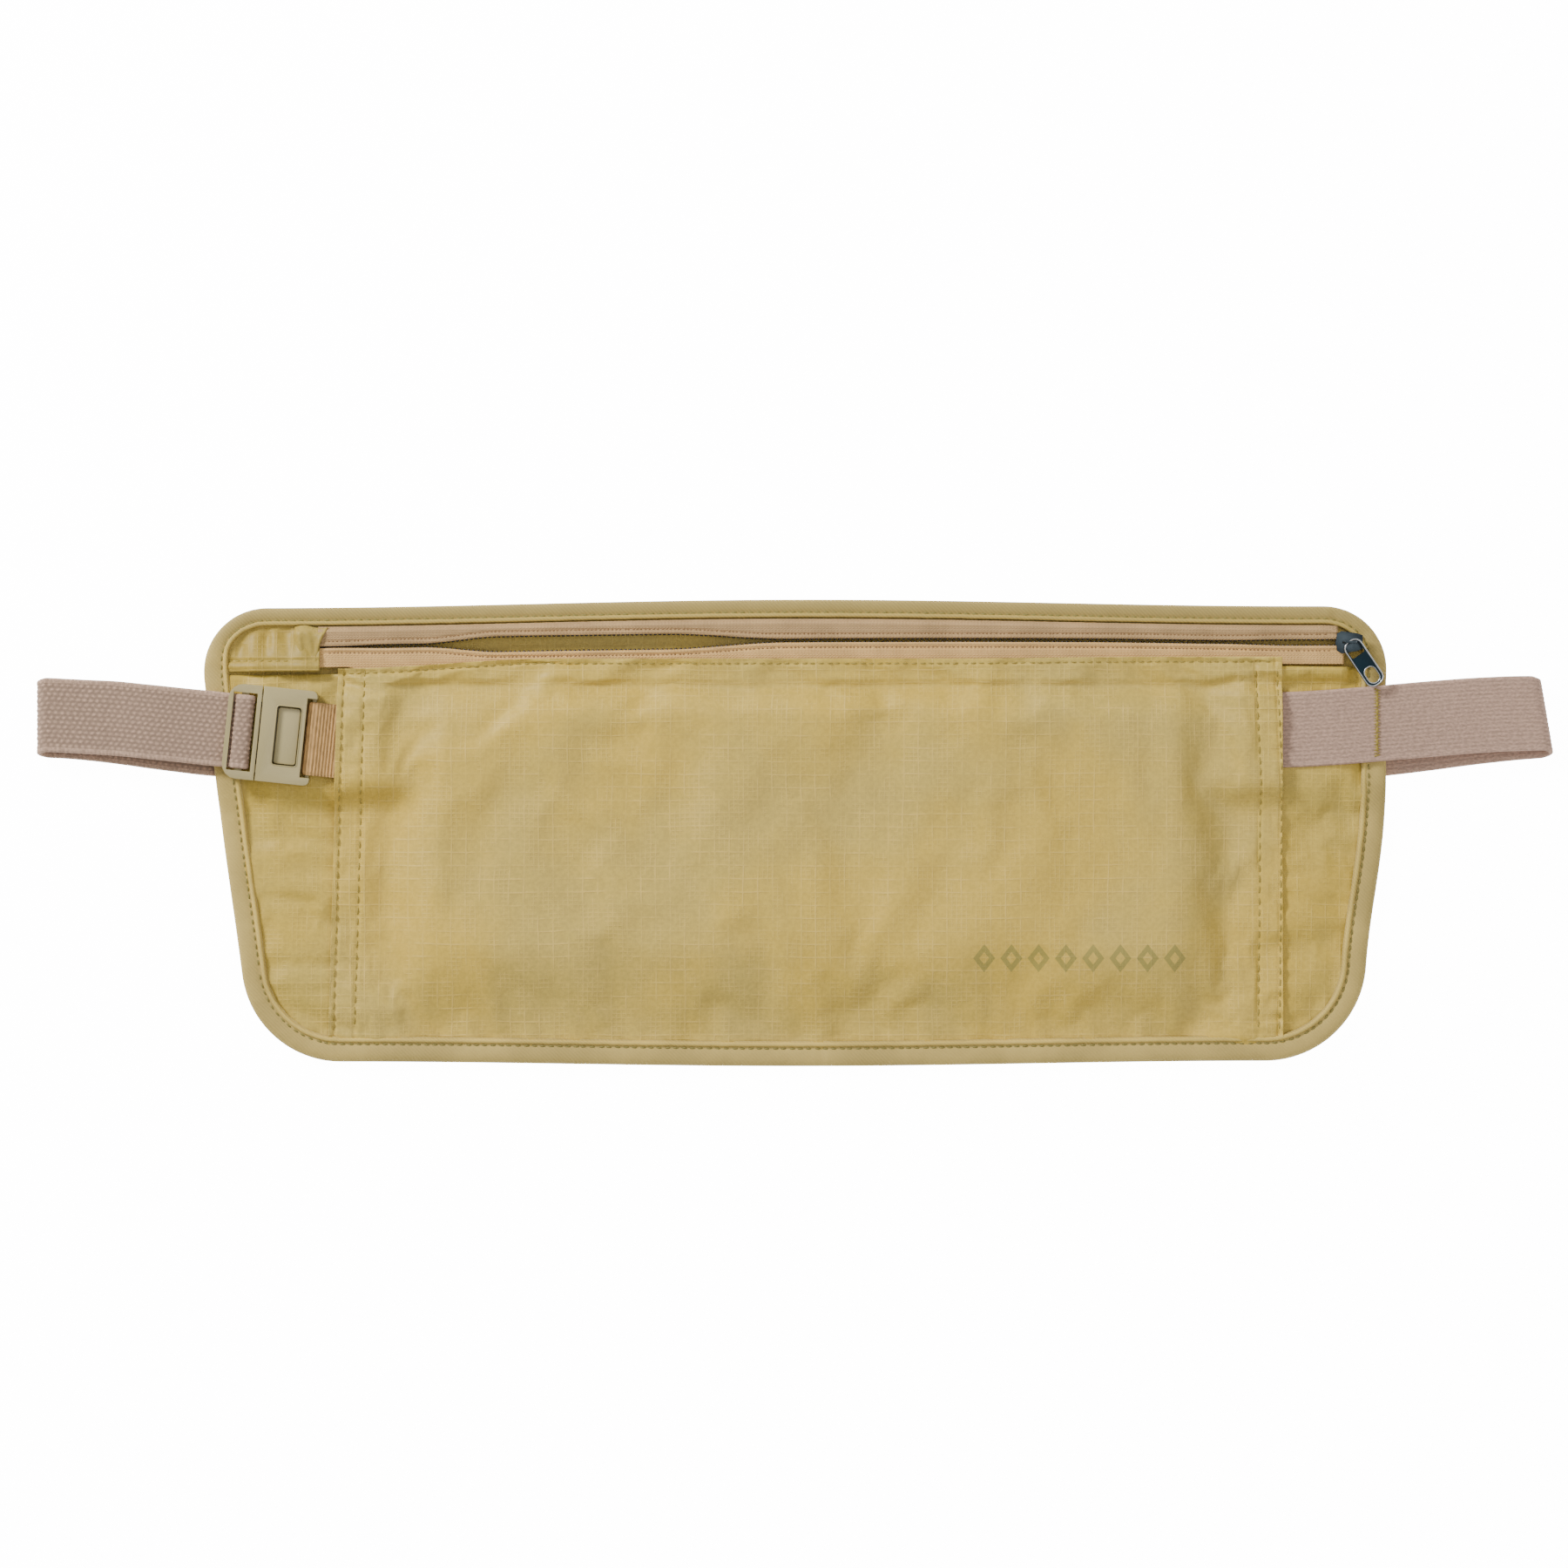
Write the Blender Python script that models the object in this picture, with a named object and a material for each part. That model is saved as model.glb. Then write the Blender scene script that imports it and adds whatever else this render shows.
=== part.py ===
"""Travel money belt, lying flat with its front face up.

Every length is in millimetres and is scaled to metres when a mesh is made.  +X runs to the wearer's
left along the waist strap, +Y runs up the pouch towards the zip, +Z stands off the table.  The origin
is under the middle of the belt, on the surface it lies on.
"""
import math

import bmesh
import bpy
import numpy as np
from mathutils import Matrix, Vector

MM = 0.001

# Pouch outline: corners before rounding, corner radii, and how far each side bows outwards.
CORNERS = [(-149.6, -63.3), (156.2, -63.0), (164.9, 62.7), (-165.6, 62.1)]
CORNER_RADII = [27.5, 28.0, 17.5, 17.5]
SIDE_BOWS = [1.35, 2.2, 2.05, 0.4]

# Thicknesses and gaps of the sewn layers.
GAP = 0.4
BINDING_T = 0.4
BINDING_WIDTH = 7.0
BINDING_WIDTH_TOP = 5.0
PANEL_T = 0.4
PANEL_INSET = 1.0
BACK_Z = BINDING_T + GAP
FRONT_Z = BACK_Z + PANEL_T + GAP
FLAP_Z = FRONT_Z + PANEL_T + GAP

# Puff of the pouch: the wings stay low under the strap, the middle is filled out, the zip rides between.
WING_PUFF = 0.8
MIDDLE_PUFF = 6.1
ZIP_PUFF = 4.05

# Waist strap.
STRAP_T = 1.3
STRAP_W = 20.5
STRAP_LIFT = STRAP_T + 0.3
STRAP_Y = 25.4
STRAP_END_RISE = 5.6
STRAP_TOP_Z = 4.7
FOLD_LEFT_X = -206.35
FOLD_RIGHT_X = 206.3

# Seams: the front panel's folded side edges, and how far a wing runs on under them.
LEFT_EDGE = [(-125.9, 45.3), (-127.0, 13.0), (-129.2, -62.0)]
RIGHT_EDGE = [(134.4, 47.3), (136.0, 13.0), (135.4, -62.0)]
LAP = 8.0
LAP_GAP = 0.45
SEAM_THREAD_Y = (38.8, -55.0)
LEFT_BUMP = 2.7
RIGHT_BUMP = 1.9

# Zip: a straight centre line from the tab to the slider's rest place.
ZIP_LEFT = Vector((-130.5, 51.2))
ZIP_RIGHT = Vector((153.0, 52.6))
ZIP_HALF_GAP = 0.7
MOUTH_HALF_GAP = 2.45
MOUTH = (-103.0, -14.0)
MOUTH_RAMP = 16.0
TAPE_T = 0.35
TAPE_Z = 4.8
COIL_T = 0.8
COIL_W = 1.6
SLIDER_L = 7.4
SLIDER_W = 6.2
PLATE_LOW = (3.0, 3.5)
PLATE_TOP = (5.5, 6.1)
PIVOT_Z = 8.1
BAIL_TOP = 9.9
PULLER_ANGLE = math.radians(-56.0)
PULLER_T = 0.8
PULLER_L = 14.6
PULLER_W = 5.5

# Buckle: its centre and tilt on the belt.  In its own frame +u runs along the strap to the webbing.
BUCKLE_AT = Vector((-145.0, 27.2))
BUCKLE_TILT = math.radians(-6.0)
BUCKLE_HALF_W = 13.1
THROUGH_Z = (4.0, 11.0)
HOUSING_U = (-2.3, 12.6)
HOUSING_Z = (4.7, 10.0)
CAVITY_U = (-3.0, 9.0)
CAVITY_HALF_W = 11.3
CAVITY_Z = (5.8, 9.0)
WINDOW_U = (1.8, 8.7)
WINDOW_HALF_W = 8.2
WINDOW_Z = (8.0, 11.0)
WEBBING_BAY_U = (9.9, 14.0)
WEBBING_BAY_HALF_W = 10.9
WEBBING_BAR_U = (11.2, 12.3)
WEBBING_BAR_Z = (6.4, 7.6)
BAR_REACH = 12.0
TONGUE_U = (2.7, 11.8)
TONGUE_Z = (5.6, 9.4)
TONGUE_CORNER = 4.0
STRAP_BAY_U = (-10.5, -3.9)
STRAP_BAY_HALF_W = 10.8
UNDER_RAIL_U = (-14.0, -10.0)
UNDER_RAIL_Z = (4.0, 7.9)
LADDER_BAR_U = (-8.3, -6.3)
LADDER_BAR_Z = (7.3, 8.7)
PRONG_U = (-3.4, 8.4)
PRONG_HALF_W = 7.6
PRONG_Z = (6.15, 6.85)
GUIDE_U = (-3.4, 7.6)
GUIDE_V = (8.6, 10.8)
GUIDE_Z = (6.15, 8.65)
PAD_U = (2.2, 8.3)
PAD_HALF_W = 7.8
PAD_Z = (7.95, 8.7)

WEBBING_T = 0.8
WEBBING_W = 20.6

KHAKI = (0.51, 0.39, 0.16)
BINDING_COLOR = (0.42, 0.335, 0.15)
TAPE_COLOR = (0.56, 0.39, 0.21)
COIL_COLOR = (0.09, 0.06, 0.04)
ELASTIC_COLOR = (0.41, 0.30, 0.23)
WEBBING_COLOR = (0.46, 0.31, 0.14)
BUCKLE_COLOR = (0.375, 0.31, 0.17)
METAL_COLOR = (0.16, 0.17, 0.18)
THREAD_COLOR = (0.38, 0.30, 0.08)


# ---------------------------------------------------------------- small helpers

def ease(t):
    """Smooth step from 0 to 1."""
    t = min(max(t, 0.0), 1.0)
    return t * t * (3.0 - 2.0 * t)


def lerp(a, b, t):
    return a + (b - a) * t


def through(points, y):
    """X of a line through hand-set (x, y) points, at a height y."""
    table = sorted((p[1], p[0]) for p in points)
    return float(np.interp(y, [t[0] for t in table], [t[1] for t in table]))


def material(name, color, roughness, metallic=0.0):
    made = bpy.data.materials.get(name)
    if made:
        return made
    made = bpy.data.materials.new(name)
    made.use_nodes = True
    shader = made.node_tree.nodes["Principled BSDF"]
    shader.inputs["Base Color"].default_value = (*color, 1.0)
    shader.inputs["Roughness"].default_value = roughness
    shader.inputs["Metallic"].default_value = metallic
    made.diffuse_color = (*color, 1.0)
    return made


def add_object(name, mesh, look, parent=None):
    thing = bpy.data.objects.new(name, mesh)
    bpy.context.scene.collection.objects.link(thing)
    mesh.materials.append(look)
    thing.parent = parent
    return thing


def mesh_from(name, verts, faces):
    """Closed mesh from millimetre points, with its faces turned outwards."""
    mesh = bpy.data.meshes.new(name)
    mesh.from_pydata([(x * MM, y * MM, z * MM) for x, y, z in verts], [], faces)
    work = bmesh.new()
    work.from_mesh(mesh)
    bmesh.ops.recalc_face_normals(work, faces=work.faces)
    work.to_mesh(mesh)
    work.free()
    return mesh


# ---------------------------------------------------------------- the pouch outline

def rounded_outline():
    """Dense counter-clockwise outline of the pouch: points and outward normals."""
    count = len(CORNERS)
    arcs = []
    for i in range(count):
        here = Vector(CORNERS[i])
        to_prev = (Vector(CORNERS[i - 1]) - here).normalized()
        to_next = (Vector(CORNERS[(i + 1) % count]) - here).normalized()
        half = to_prev.angle(to_next) / 2
        centre = here + (to_prev + to_next).normalized() * (CORNER_RADII[i] / math.sin(half))
        start = here + to_prev * (CORNER_RADII[i] / math.tan(half)) - centre
        sweep = math.pi - 2 * half
        arcs.append([centre + Matrix.Rotation(sweep * k / 24, 2) @ start for k in range(25)])
    points = []
    for i in range(count):
        points.extend(arcs[i])
        leave = arcs[i][-1]
        arrive = arcs[(i + 1) % count][0]
        along = (arrive - leave).normalized()
        outward = Vector((along.y, -along.x))
        for k in range(1, 60):
            t = k / 60
            points.append(leave.lerp(arrive, t) + outward * SIDE_BOWS[i] * math.sin(math.pi * t) ** 2)
    points = np.array([tuple(p) for p in points])
    ahead = np.roll(points, -1, axis=0) - np.roll(points, 1, axis=0)
    normals = np.stack([ahead[:, 1], -ahead[:, 0]], axis=1)
    normals /= np.linalg.norm(normals, axis=1)[:, None]
    return points, normals


OUTLINE, OUTWARD = rounded_outline()
STEPS = np.linalg.norm(np.roll(OUTLINE, -1, axis=0) - OUTLINE, axis=1)
REACH = np.concatenate([[0.0], np.cumsum(STEPS)])
OUTLINE_LENGTH = float(REACH[-1])


def outline_at(reach, inset=0.0):
    """Point at a distance along the outline, moved inwards by inset."""
    reach = reach % OUTLINE_LENGTH
    i = int(np.searchsorted(REACH, reach, side="right")) - 1
    i = min(i, len(OUTLINE) - 1)
    j = (i + 1) % len(OUTLINE)
    t = (reach - REACH[i]) / max(STEPS[i], 1e-9)
    point = OUTLINE[i] * (1 - t) + OUTLINE[j] * t
    normal = OUTWARD[i] * (1 - t) + OUTWARD[j] * t
    normal = normal / np.linalg.norm(normal)
    inner = point - normal * inset
    return float(inner[0]), float(inner[1])


def reach_near(x, y):
    """Distance along the outline of the outline point nearest to (x, y)."""
    i = int(np.argmin((OUTLINE[:, 0] - x) ** 2 + (OUTLINE[:, 1] - y) ** 2))
    return float(REACH[i])


def outline_run(start, end, count, inset, clockwise=False):
    """Evenly spaced points along the outline from near one point to near another."""
    a = reach_near(*start)
    b = reach_near(*end)
    span = (a - b) % OUTLINE_LENGTH if clockwise else (b - a) % OUTLINE_LENGTH
    sign = -1.0 if clockwise else 1.0
    return [outline_at(a + sign * span * k / (count - 1), inset) for k in range(count)]


def depth_inside(x, y):
    """How far a point is inside the outline."""
    a = OUTLINE
    b = np.roll(OUTLINE, -1, axis=0)
    p = np.array([x, y])
    along = b - a
    t = np.clip(((p - a) * along).sum(1) / (along ** 2).sum(1), 0, 1)
    return float(np.min(np.linalg.norm(a + along * t[:, None] - p, axis=1)))


# ---------------------------------------------------------------- heights

def strap_centre(x):
    """Y of the strap's run behind the pouch: level under it, rising at both ends."""
    return STRAP_Y + STRAP_END_RISE * ease((abs(x) - 150.0) / 60.0)


def over_strap(x, y, reach=10.0):
    """1 over the strap's band, falling to 0 beside it."""
    beside = abs(y - strap_centre(x)) - STRAP_W / 2 - 0.8
    return 1.0 - ease(beside / reach)


def over_strap_end(x, y):
    """1 over a strap end sewn under the front panel's side edge, falling to 0 beside it."""
    return 1.0 - ease((abs(y - STRAP_Y) - STRAP_W / 2 - 1.0) / 8.0)


def lift(x, y):
    return STRAP_LIFT * over_strap(x, y)


def zip_y(x):
    t = (x - ZIP_LEFT.x) / (ZIP_RIGHT.x - ZIP_LEFT.x)
    return ZIP_LEFT.y + (ZIP_RIGHT.y - ZIP_LEFT.y) * t


def front_floor(x, y):
    """Underside of the front layers: low over the strap, filled out in the middle, high along the zip."""
    depth = depth_inside(x, y)
    low = lift(x, y) + WING_PUFF * ease((depth - 8.0) / 8.0)
    across = ease((x + 117.0) / 22.0) * ease((125.0 - x) / 22.0)
    up = ease((y + 58.0) / 28.0) * ease((50.0 - y) / 19.0)
    start = lerp(41.5, 37.4, ease((x + 128.0) / 10.0)) + 1.6 * ease((x - 112.0) / 10.0)
    along_zip = ease((y - start) / 5.5) * ease((x + 141.0) / 9.0) * ease((depth - 9.2) / 2.8)
    parts = (low, MIDDLE_PUFF * across * up, ZIP_PUFF * along_zip)
    return FRONT_Z + sum(part ** 4 for part in parts) ** 0.25


def panel_floor(x, y):
    """Underside of the front panel, which laps over both wings and the strap ends sewn between."""
    left = ease((through(LEFT_EDGE, y) + LAP + 10.0 - x) / 8.0)
    right = ease((x - through(RIGHT_EDGE, y) + LAP + 10.0) / 8.0)
    step = (PANEL_T + LAP_GAP) * ease((y + 55.5) / 4.0)
    on_left = left * (step + LEFT_BUMP * over_strap_end(x, y))
    on_right = right * (step + RIGHT_BUMP * over_strap_end(x, y))
    return front_floor(x, y) + on_left + on_right


# ---------------------------------------------------------------- sheet makers

def ruled_grid(first, second, columns):
    """Grid of points between two runs of the same length."""
    rows = []
    for a, b in zip(first, second):
        rows.append([(lerp(a[0], b[0], k / columns), lerp(a[1], b[1], k / columns))
                     for k in range(columns + 1)])
    return rows


def coons_grid(bottom, top, left, right):
    """Grid inside four boundary runs that share their end points."""
    rows = []
    across = len(bottom) - 1
    up = len(left) - 1
    for j in range(up + 1):
        v = j / up
        row = []
        for i in range(across + 1):
            u = i / across
            point = []
            for c in range(2):
                sides = lerp(left[j][c], right[j][c], u) + lerp(bottom[i][c], top[i][c], v)
                ends = lerp(lerp(bottom[0][c], bottom[-1][c], u), lerp(top[0][c], top[-1][c], u), v)
                point.append(sides - ends)
            row.append(tuple(point))
        rows.append(row)
    return rows


def sheet(name, grid, floor, thickness, look):
    """Closed sheet over a grid of (x, y) points, standing on floor(x, y)."""
    rows = len(grid)
    columns = len(grid[0])
    verts = []
    for raise_by in (0.0, thickness):
        for row in grid:
            for x, y in row:
                verts.append((x, y, floor(x, y) + raise_by))
    layer = rows * columns

    def at(j, i, upper):
        return upper * layer + j * columns + i

    faces = []
    for j in range(rows - 1):
        for i in range(columns - 1):
            faces.append((at(j, i, 1), at(j, i + 1, 1), at(j + 1, i + 1, 1), at(j + 1, i, 1)))
            faces.append((at(j, i, 0), at(j + 1, i, 0), at(j + 1, i + 1, 0), at(j, i + 1, 0)))
    rim = [(0, i) for i in range(columns)]
    rim += [(j, columns - 1) for j in range(1, rows)]
    rim += [(rows - 1, i) for i in range(columns - 2, -1, -1)]
    rim += [(j, 0) for j in range(rows - 2, 0, -1)]
    for k, here in enumerate(rim):
        there = rim[(k + 1) % len(rim)]
        faces.append((at(*here, 0), at(*there, 0), at(*there, 1), at(*here, 1)))
    return add_object(name, mesh_from(name, verts, faces), look)


def ribbon(name, path, width, thickness, across, look):
    """Flat strap of rectangular section along a path of (point, normal) pairs.

    across(k) is the strap's width direction at path point k.
    """
    verts = []
    last = len(path) - 1
    for k, (point, normal) in enumerate(path):
        side = across(k) * (width / 2)
        up = normal * (thickness / 2)
        for corner in (point - side - up, point + side - up, point + side + up, point - side + up):
            verts.append(tuple(corner))
    faces = [(3, 2, 1, 0)]
    for k in range(last):
        a = 4 * k
        for c in range(4):
            d = (c + 1) % 4
            faces.append((a + c, a + d, a + 4 + d, a + 4 + c))
    end = 4 * last
    faces.append((end, end + 1, end + 2, end + 3))
    return add_object(name, mesh_from(name, verts, faces), look)


def thread(name, route, look, width=0.5, height=0.3):
    """Line of sewing thread lying on the cloth: a thin bar along (x, y, z) points."""
    path = []
    for k, point in enumerate(route):
        path.append((Vector(point) + Vector((0, 0, height / 2)), Vector((0, 0, 1))))

    def across(k):
        a = path[max(k - 1, 0)][0]
        b = path[min(k + 1, len(path) - 1)][0]
        along = (b - a)
        along.z = 0
        along.normalize()
        return Vector((along.y, -along.x, 0))

    return ribbon(name, path, width, height, across, look)


# ---------------------------------------------------------------- pouch panels

CLOTH = material("ripstop", KHAKI, 0.6)
BINDING = material("binding", BINDING_COLOR, 0.75)
TAPE = material("zip_tape", TAPE_COLOR, 0.8)
COIL = material("zip_coil", COIL_COLOR, 0.5)
ELASTIC = material("elastic", ELASTIC_COLOR, 0.85)
WEBBING = material("webbing", WEBBING_COLOR, 0.8)
PLASTIC = material("buckle_plastic", BUCKLE_COLOR, 0.45)
METAL = material("gunmetal", METAL_COLOR, 0.3, 1.0)
THREAD = material("thread", THREAD_COLOR, 0.7)


def seam_run(edge, top, bottom, count, shift=0.0):
    """Points down a seam, moved sideways by shift."""
    ys = [lerp(top, bottom, k / (count - 1)) for k in range(count)]
    return [(through(edge, y) + shift, y) for y in ys]


def lap_run(edge, top, bottom, count, side):
    """A wing's inner edge: it runs on under the front panel, and draws back above the binding."""
    points = []
    for x, y in seam_run(edge, top, bottom, count):
        points.append((x + side * lerp(LAP, -0.7, ease((-41.5 - y) / 9.0)), y))
    return points


def corner_mids():
    """Outline distances of the middles of the four rounded corners."""
    return [reach_near(*CORNERS[i]) for i in range(4)]


def outline_side(first, second, count, inset):
    mids = corner_mids()
    span = (mids[second] - mids[first]) % OUTLINE_LENGTH
    return [outline_at(mids[first] + span * k / (count - 1), inset) for k in range(count)]


def back_panel():
    bottom = outline_side(0, 1, 29, PANEL_INSET)
    right = outline_side(1, 2, 17, PANEL_INSET)
    top = outline_side(2, 3, 29, PANEL_INSET)[::-1]
    left = outline_side(3, 0, 17, PANEL_INSET)[::-1]
    sheet("back_panel", coons_grid(bottom, top, left, right), lambda x, y: BACK_Z + lift(x, y),
          PANEL_T, CLOTH)


def panel_top(x):
    """Y of the front panel's folded top edge beside the zip."""
    return 45.3 + 2.6 * ease((x + 126.0) / 60.0) - 1.2 * ease((x - 100.0) / 40.0)


def front_panel():
    count = 37
    bottom = outline_run((LEFT_EDGE[2][0], -64.0), (RIGHT_EDGE[2][0], -64.0), count, PANEL_INSET)
    top_left = LEFT_EDGE[0][0]
    top_right = RIGHT_EDGE[0][0]
    top = []
    for k in range(count):
        x = lerp(top_left, top_right, k / (count - 1))
        top.append((x, panel_top(x)))
    sheet("front_panel", ruled_grid(bottom, top, 22), panel_floor, PANEL_T, CLOTH)


def left_wing():
    outer = outline_run((-163.5, 43.6), (-131.5, -64.0), 25, PANEL_INSET)
    inner = lap_run(LEFT_EDGE, 43.9, -60.0, 25, 1.0)
    sheet("left_wing", ruled_grid(outer, inner, 7), front_floor, PANEL_T, CLOTH)


def right_wing():
    outer = outline_run((163.4, 45.9), (138.0, -64.0), 25, PANEL_INSET, clockwise=True)
    inner = lap_run(RIGHT_EDGE, 46.1, -60.0, 25, -1.0)
    sheet("right_wing", ruled_grid(outer, inner, 14), front_floor, PANEL_T, CLOTH)


def corner_panel():
    """Top left corner piece that covers the zip's closed end."""
    outer = outline_run((-133.0, 62.0), (-163.6, 45.4), 21, PANEL_INSET)
    inner = []
    for k in range(21):
        t = k / 20
        x = lerp(-132.6, -150.0, max(0.0, (t - 0.45) / 0.55))
        y = lerp(57.0, 45.3, min(1.0, t / 0.45))
        inner.append((x, y))
    sheet("corner_panel", ruled_grid(outer, inner, 7), corner_floor, PANEL_T, CLOTH)


def corner_floor(x, y):
    inside = ease((depth_inside(x, y) - 6.0) / 9.0)
    return FRONT_Z + 0.15 + lift(x, y) + inside * 3.0


def binding_width(x, y):
    return lerp(BINDING_WIDTH, BINDING_WIDTH_TOP, ease((y - 44.0) / 14.0))


def edge_binding():
    """Folded tape round the whole edge: a U section swept round the outline."""
    count = 100
    verts = []
    for k in range(count):
        reach = OUTLINE_LENGTH * k / count
        ox, oy = outline_at(reach)
        base = lift(*outline_at(reach, 3.0))
        width = binding_width(ox, oy)
        top = FLAP_Z + BINDING_T
        profile = [(width, 0.0), (0.5, 0.0), (0.0, 0.5), (0.0, top - 0.5), (0.5, top), (width, top),
                   (width, FLAP_Z), (0.75, FLAP_Z), (0.5, FLAP_Z - 0.25), (0.5, BINDING_T + 0.25),
                   (0.75, BINDING_T), (width, BINDING_T)]
        for inset, z in profile:
            x, y = outline_at(reach, inset)
            verts.append((x, y, z + base))
    ring = 12
    faces = []
    for k in range(count):
        n = (k + 1) % count
        for c in range(ring):
            d = (c + 1) % ring
            faces.append((k * ring + c, n * ring + c, n * ring + d, k * ring + d))
    add_object("edge_binding", mesh_from("edge_binding", verts, faces), BINDING)


# ---------------------------------------------------------------- zip

def half_gap(x):
    """Half the opening between the zip's two rows: wide at the mouth that the pouch is filled by."""
    opened = ease((x - MOUTH[0]) / MOUTH_RAMP) * ease((MOUTH[1] - x) / MOUTH_RAMP)
    return lerp(ZIP_HALF_GAP, MOUTH_HALF_GAP, opened)


def zip_columns(start, end, count=44):
    return [lerp(start, end, k / (count - 1)) for k in range(count)]


def upper_tape():
    xs = zip_columns(ZIP_LEFT.x, 150.0)
    near = [(x, zip_y(x) + half_gap(x)) for x in xs]
    far = []
    for x in xs:
        reach = reach_near(x, 63.0)
        edge = outline_at(reach, BINDING_WIDTH_TOP + 0.5)
        far.append((x, max(edge[1], zip_y(x) + half_gap(x) + 1.0)))

    def floor(x, y):
        edge = depth_inside(x, y) - BINDING_WIDTH_TOP
        return lerp(TAPE_Z, FLAP_Z + BINDING_T + GAP, 1.0 - ease((edge - 0.4) / 1.4))

    sheet("zip_tape_upper", ruled_grid(near, far, 4), floor, TAPE_T, TAPE)


def lower_tape():
    xs = zip_columns(ZIP_LEFT.x, 151.6)
    near = [(x, zip_y(x) - half_gap(x)) for x in xs]
    far = []
    for x in xs:
        ends = max(ease((-112.0 - x) / 12.0), ease((x - 112.0) / 12.0))
        far.append((x, lerp(panel_top(x) - 2.0, 45.7 if x < 0 else 46.6, ends)))
    sheet("zip_tape_lower", ruled_grid(near, far, 3), lambda x, y: TAPE_Z, TAPE_T, TAPE)


def coil(name, sign, end):
    xs = zip_columns(ZIP_LEFT.x, end)
    near = [(x, zip_y(x) + sign * half_gap(x)) for x in xs]
    far = [(x, zip_y(x) + sign * (half_gap(x) + COIL_W)) for x in xs]
    sheet(name, ruled_grid(near, far, 1), lambda x, y: TAPE_Z - 0.25 - COIL_T, COIL_T, COIL)


def zip_end_tab():
    """Gathered tab sewn over the zip's closed end."""
    top = [(-137.0, 56.6), (-128.9, 56.2)]
    low = [(-137.5, 45.6), (-131.4, 45.4)]
    grid = []
    for j in range(9):
        up = j / 8
        row = []
        for i in range(5):
            x = lerp(lerp(low[0][0], low[1][0], i / 4), lerp(top[0][0], top[1][0], i / 4), up)
            row.append((x, lerp(low[0][1], top[0][1], up)))
        grid.append(row)
    sheet("zip_end_tab", grid, lambda x, y: TAPE_Z + TAPE_T + GAP, PANEL_T, CLOTH)


# ---------------------------------------------------------------- hard pieces

def prism(name, outline, z0, z1):
    """Upright prism from a counter-clockwise outline."""
    n = len(outline)
    verts = [(x, y, z0) for x, y in outline] + [(x, y, z1) for x, y in outline]
    faces = [tuple(range(n - 1, -1, -1)), tuple(range(n, 2 * n))]
    for i in range(n):
        j = (i + 1) % n
        faces.append((i, j, n + j, n + i))
    return mesh_from(name, verts, faces)


def rounded_box(x0, x1, y0, y1, radius, steps=4):
    points = []
    corners = [(x1 - radius, y1 - radius, 0), (x0 + radius, y1 - radius, 90),
               (x0 + radius, y0 + radius, 180), (x1 - radius, y0 + radius, 270)]
    for cx, cy, turn in corners:
        for k in range(steps + 1):
            a = math.radians(turn + 90 * k / steps)
            points.append((cx + radius * math.cos(a), cy + radius * math.sin(a)))
    return points


def block(name, x0, x1, y0, y1, z0, z1):
    return prism(name, [(x0, y0), (x1, y0), (x1, y1), (x0, y1)], z0, z1)


def combine(target, mesh, operation, parent=None):
    """Add a hidden tool object to, or cut it from, a target."""
    tool = bpy.data.objects.new(f"tool_{mesh.name}", mesh)
    bpy.context.scene.collection.objects.link(tool)
    tool.hide_render = True
    tool.display_type = "WIRE"
    tool.parent = parent
    step = target.modifiers.new(operation.lower(), "BOOLEAN")
    step.operation = operation
    step.solver = "EXACT"
    step.object = tool
    return tool


def frame_empty(name, at, turn=(0.0, 0.0, 0.0)):
    empty = bpy.data.objects.new(name, None)
    bpy.context.scene.collection.objects.link(empty)
    empty.location = Vector(at) * MM
    empty.rotation_euler = turn
    return empty


def zip_slider():
    """Slider body: two plates joined by a post between the rows, with the bail over the top plate."""
    turn = math.atan2(ZIP_RIGHT.y - ZIP_LEFT.y, ZIP_RIGHT.x - ZIP_LEFT.x)
    base = frame_empty("slider_frame", (ZIP_RIGHT.x, ZIP_RIGHT.y, 0.0), (0.0, 0.0, turn))
    half_l = SLIDER_L / 2
    half_w = SLIDER_W / 2
    nose = [(half_l, -half_w * 0.62), (half_l, half_w * 0.62), (half_l - 1.6, half_w * 0.8),
            (-half_l + 1.6, half_w), (-half_l + 0.3, half_w * 0.75), (-half_l, 0.0),
            (-half_l + 0.3, -half_w * 0.75), (-half_l + 1.6, -half_w), (half_l - 1.6, -half_w * 0.8)]
    body = add_object("zip_slider", prism("zip_slider", nose, *PLATE_TOP), METAL, base)
    combine(body, prism("low_plate", nose, *PLATE_LOW), "UNION", base)
    combine(body, block("post", -half_l + 0.5, -half_l + 2.3, -0.3, 0.3, 3.2, 5.8), "UNION", base)
    foot = PLATE_TOP[1] - 0.3
    shoulder = BAIL_TOP - 0.6
    arch_out = [(-1.95, foot), (1.95, foot), (1.95, shoulder), (1.4, BAIL_TOP), (-1.4, BAIL_TOP),
                (-1.95, shoulder)]
    arch_in = [(-1.45, foot - 0.8), (1.45, foot - 0.8), (1.45, shoulder - 0.3), (1.1, shoulder),
               (-1.1, shoulder), (-1.45, shoulder - 0.3)]
    bail = add_object("slider_bail", upright_prism("slider_bail", arch_out, -0.3, 0.3), METAL, base)
    combine(bail, upright_prism("bail_hole", arch_in, -1.0, 1.0), "DIFFERENCE", base)
    combine(bail, block("bail_foot", -3.0, 3.0, -0.9, 0.9, 5.0, PLATE_TOP[1] + 0.2), "DIFFERENCE", base)
    return base


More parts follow.
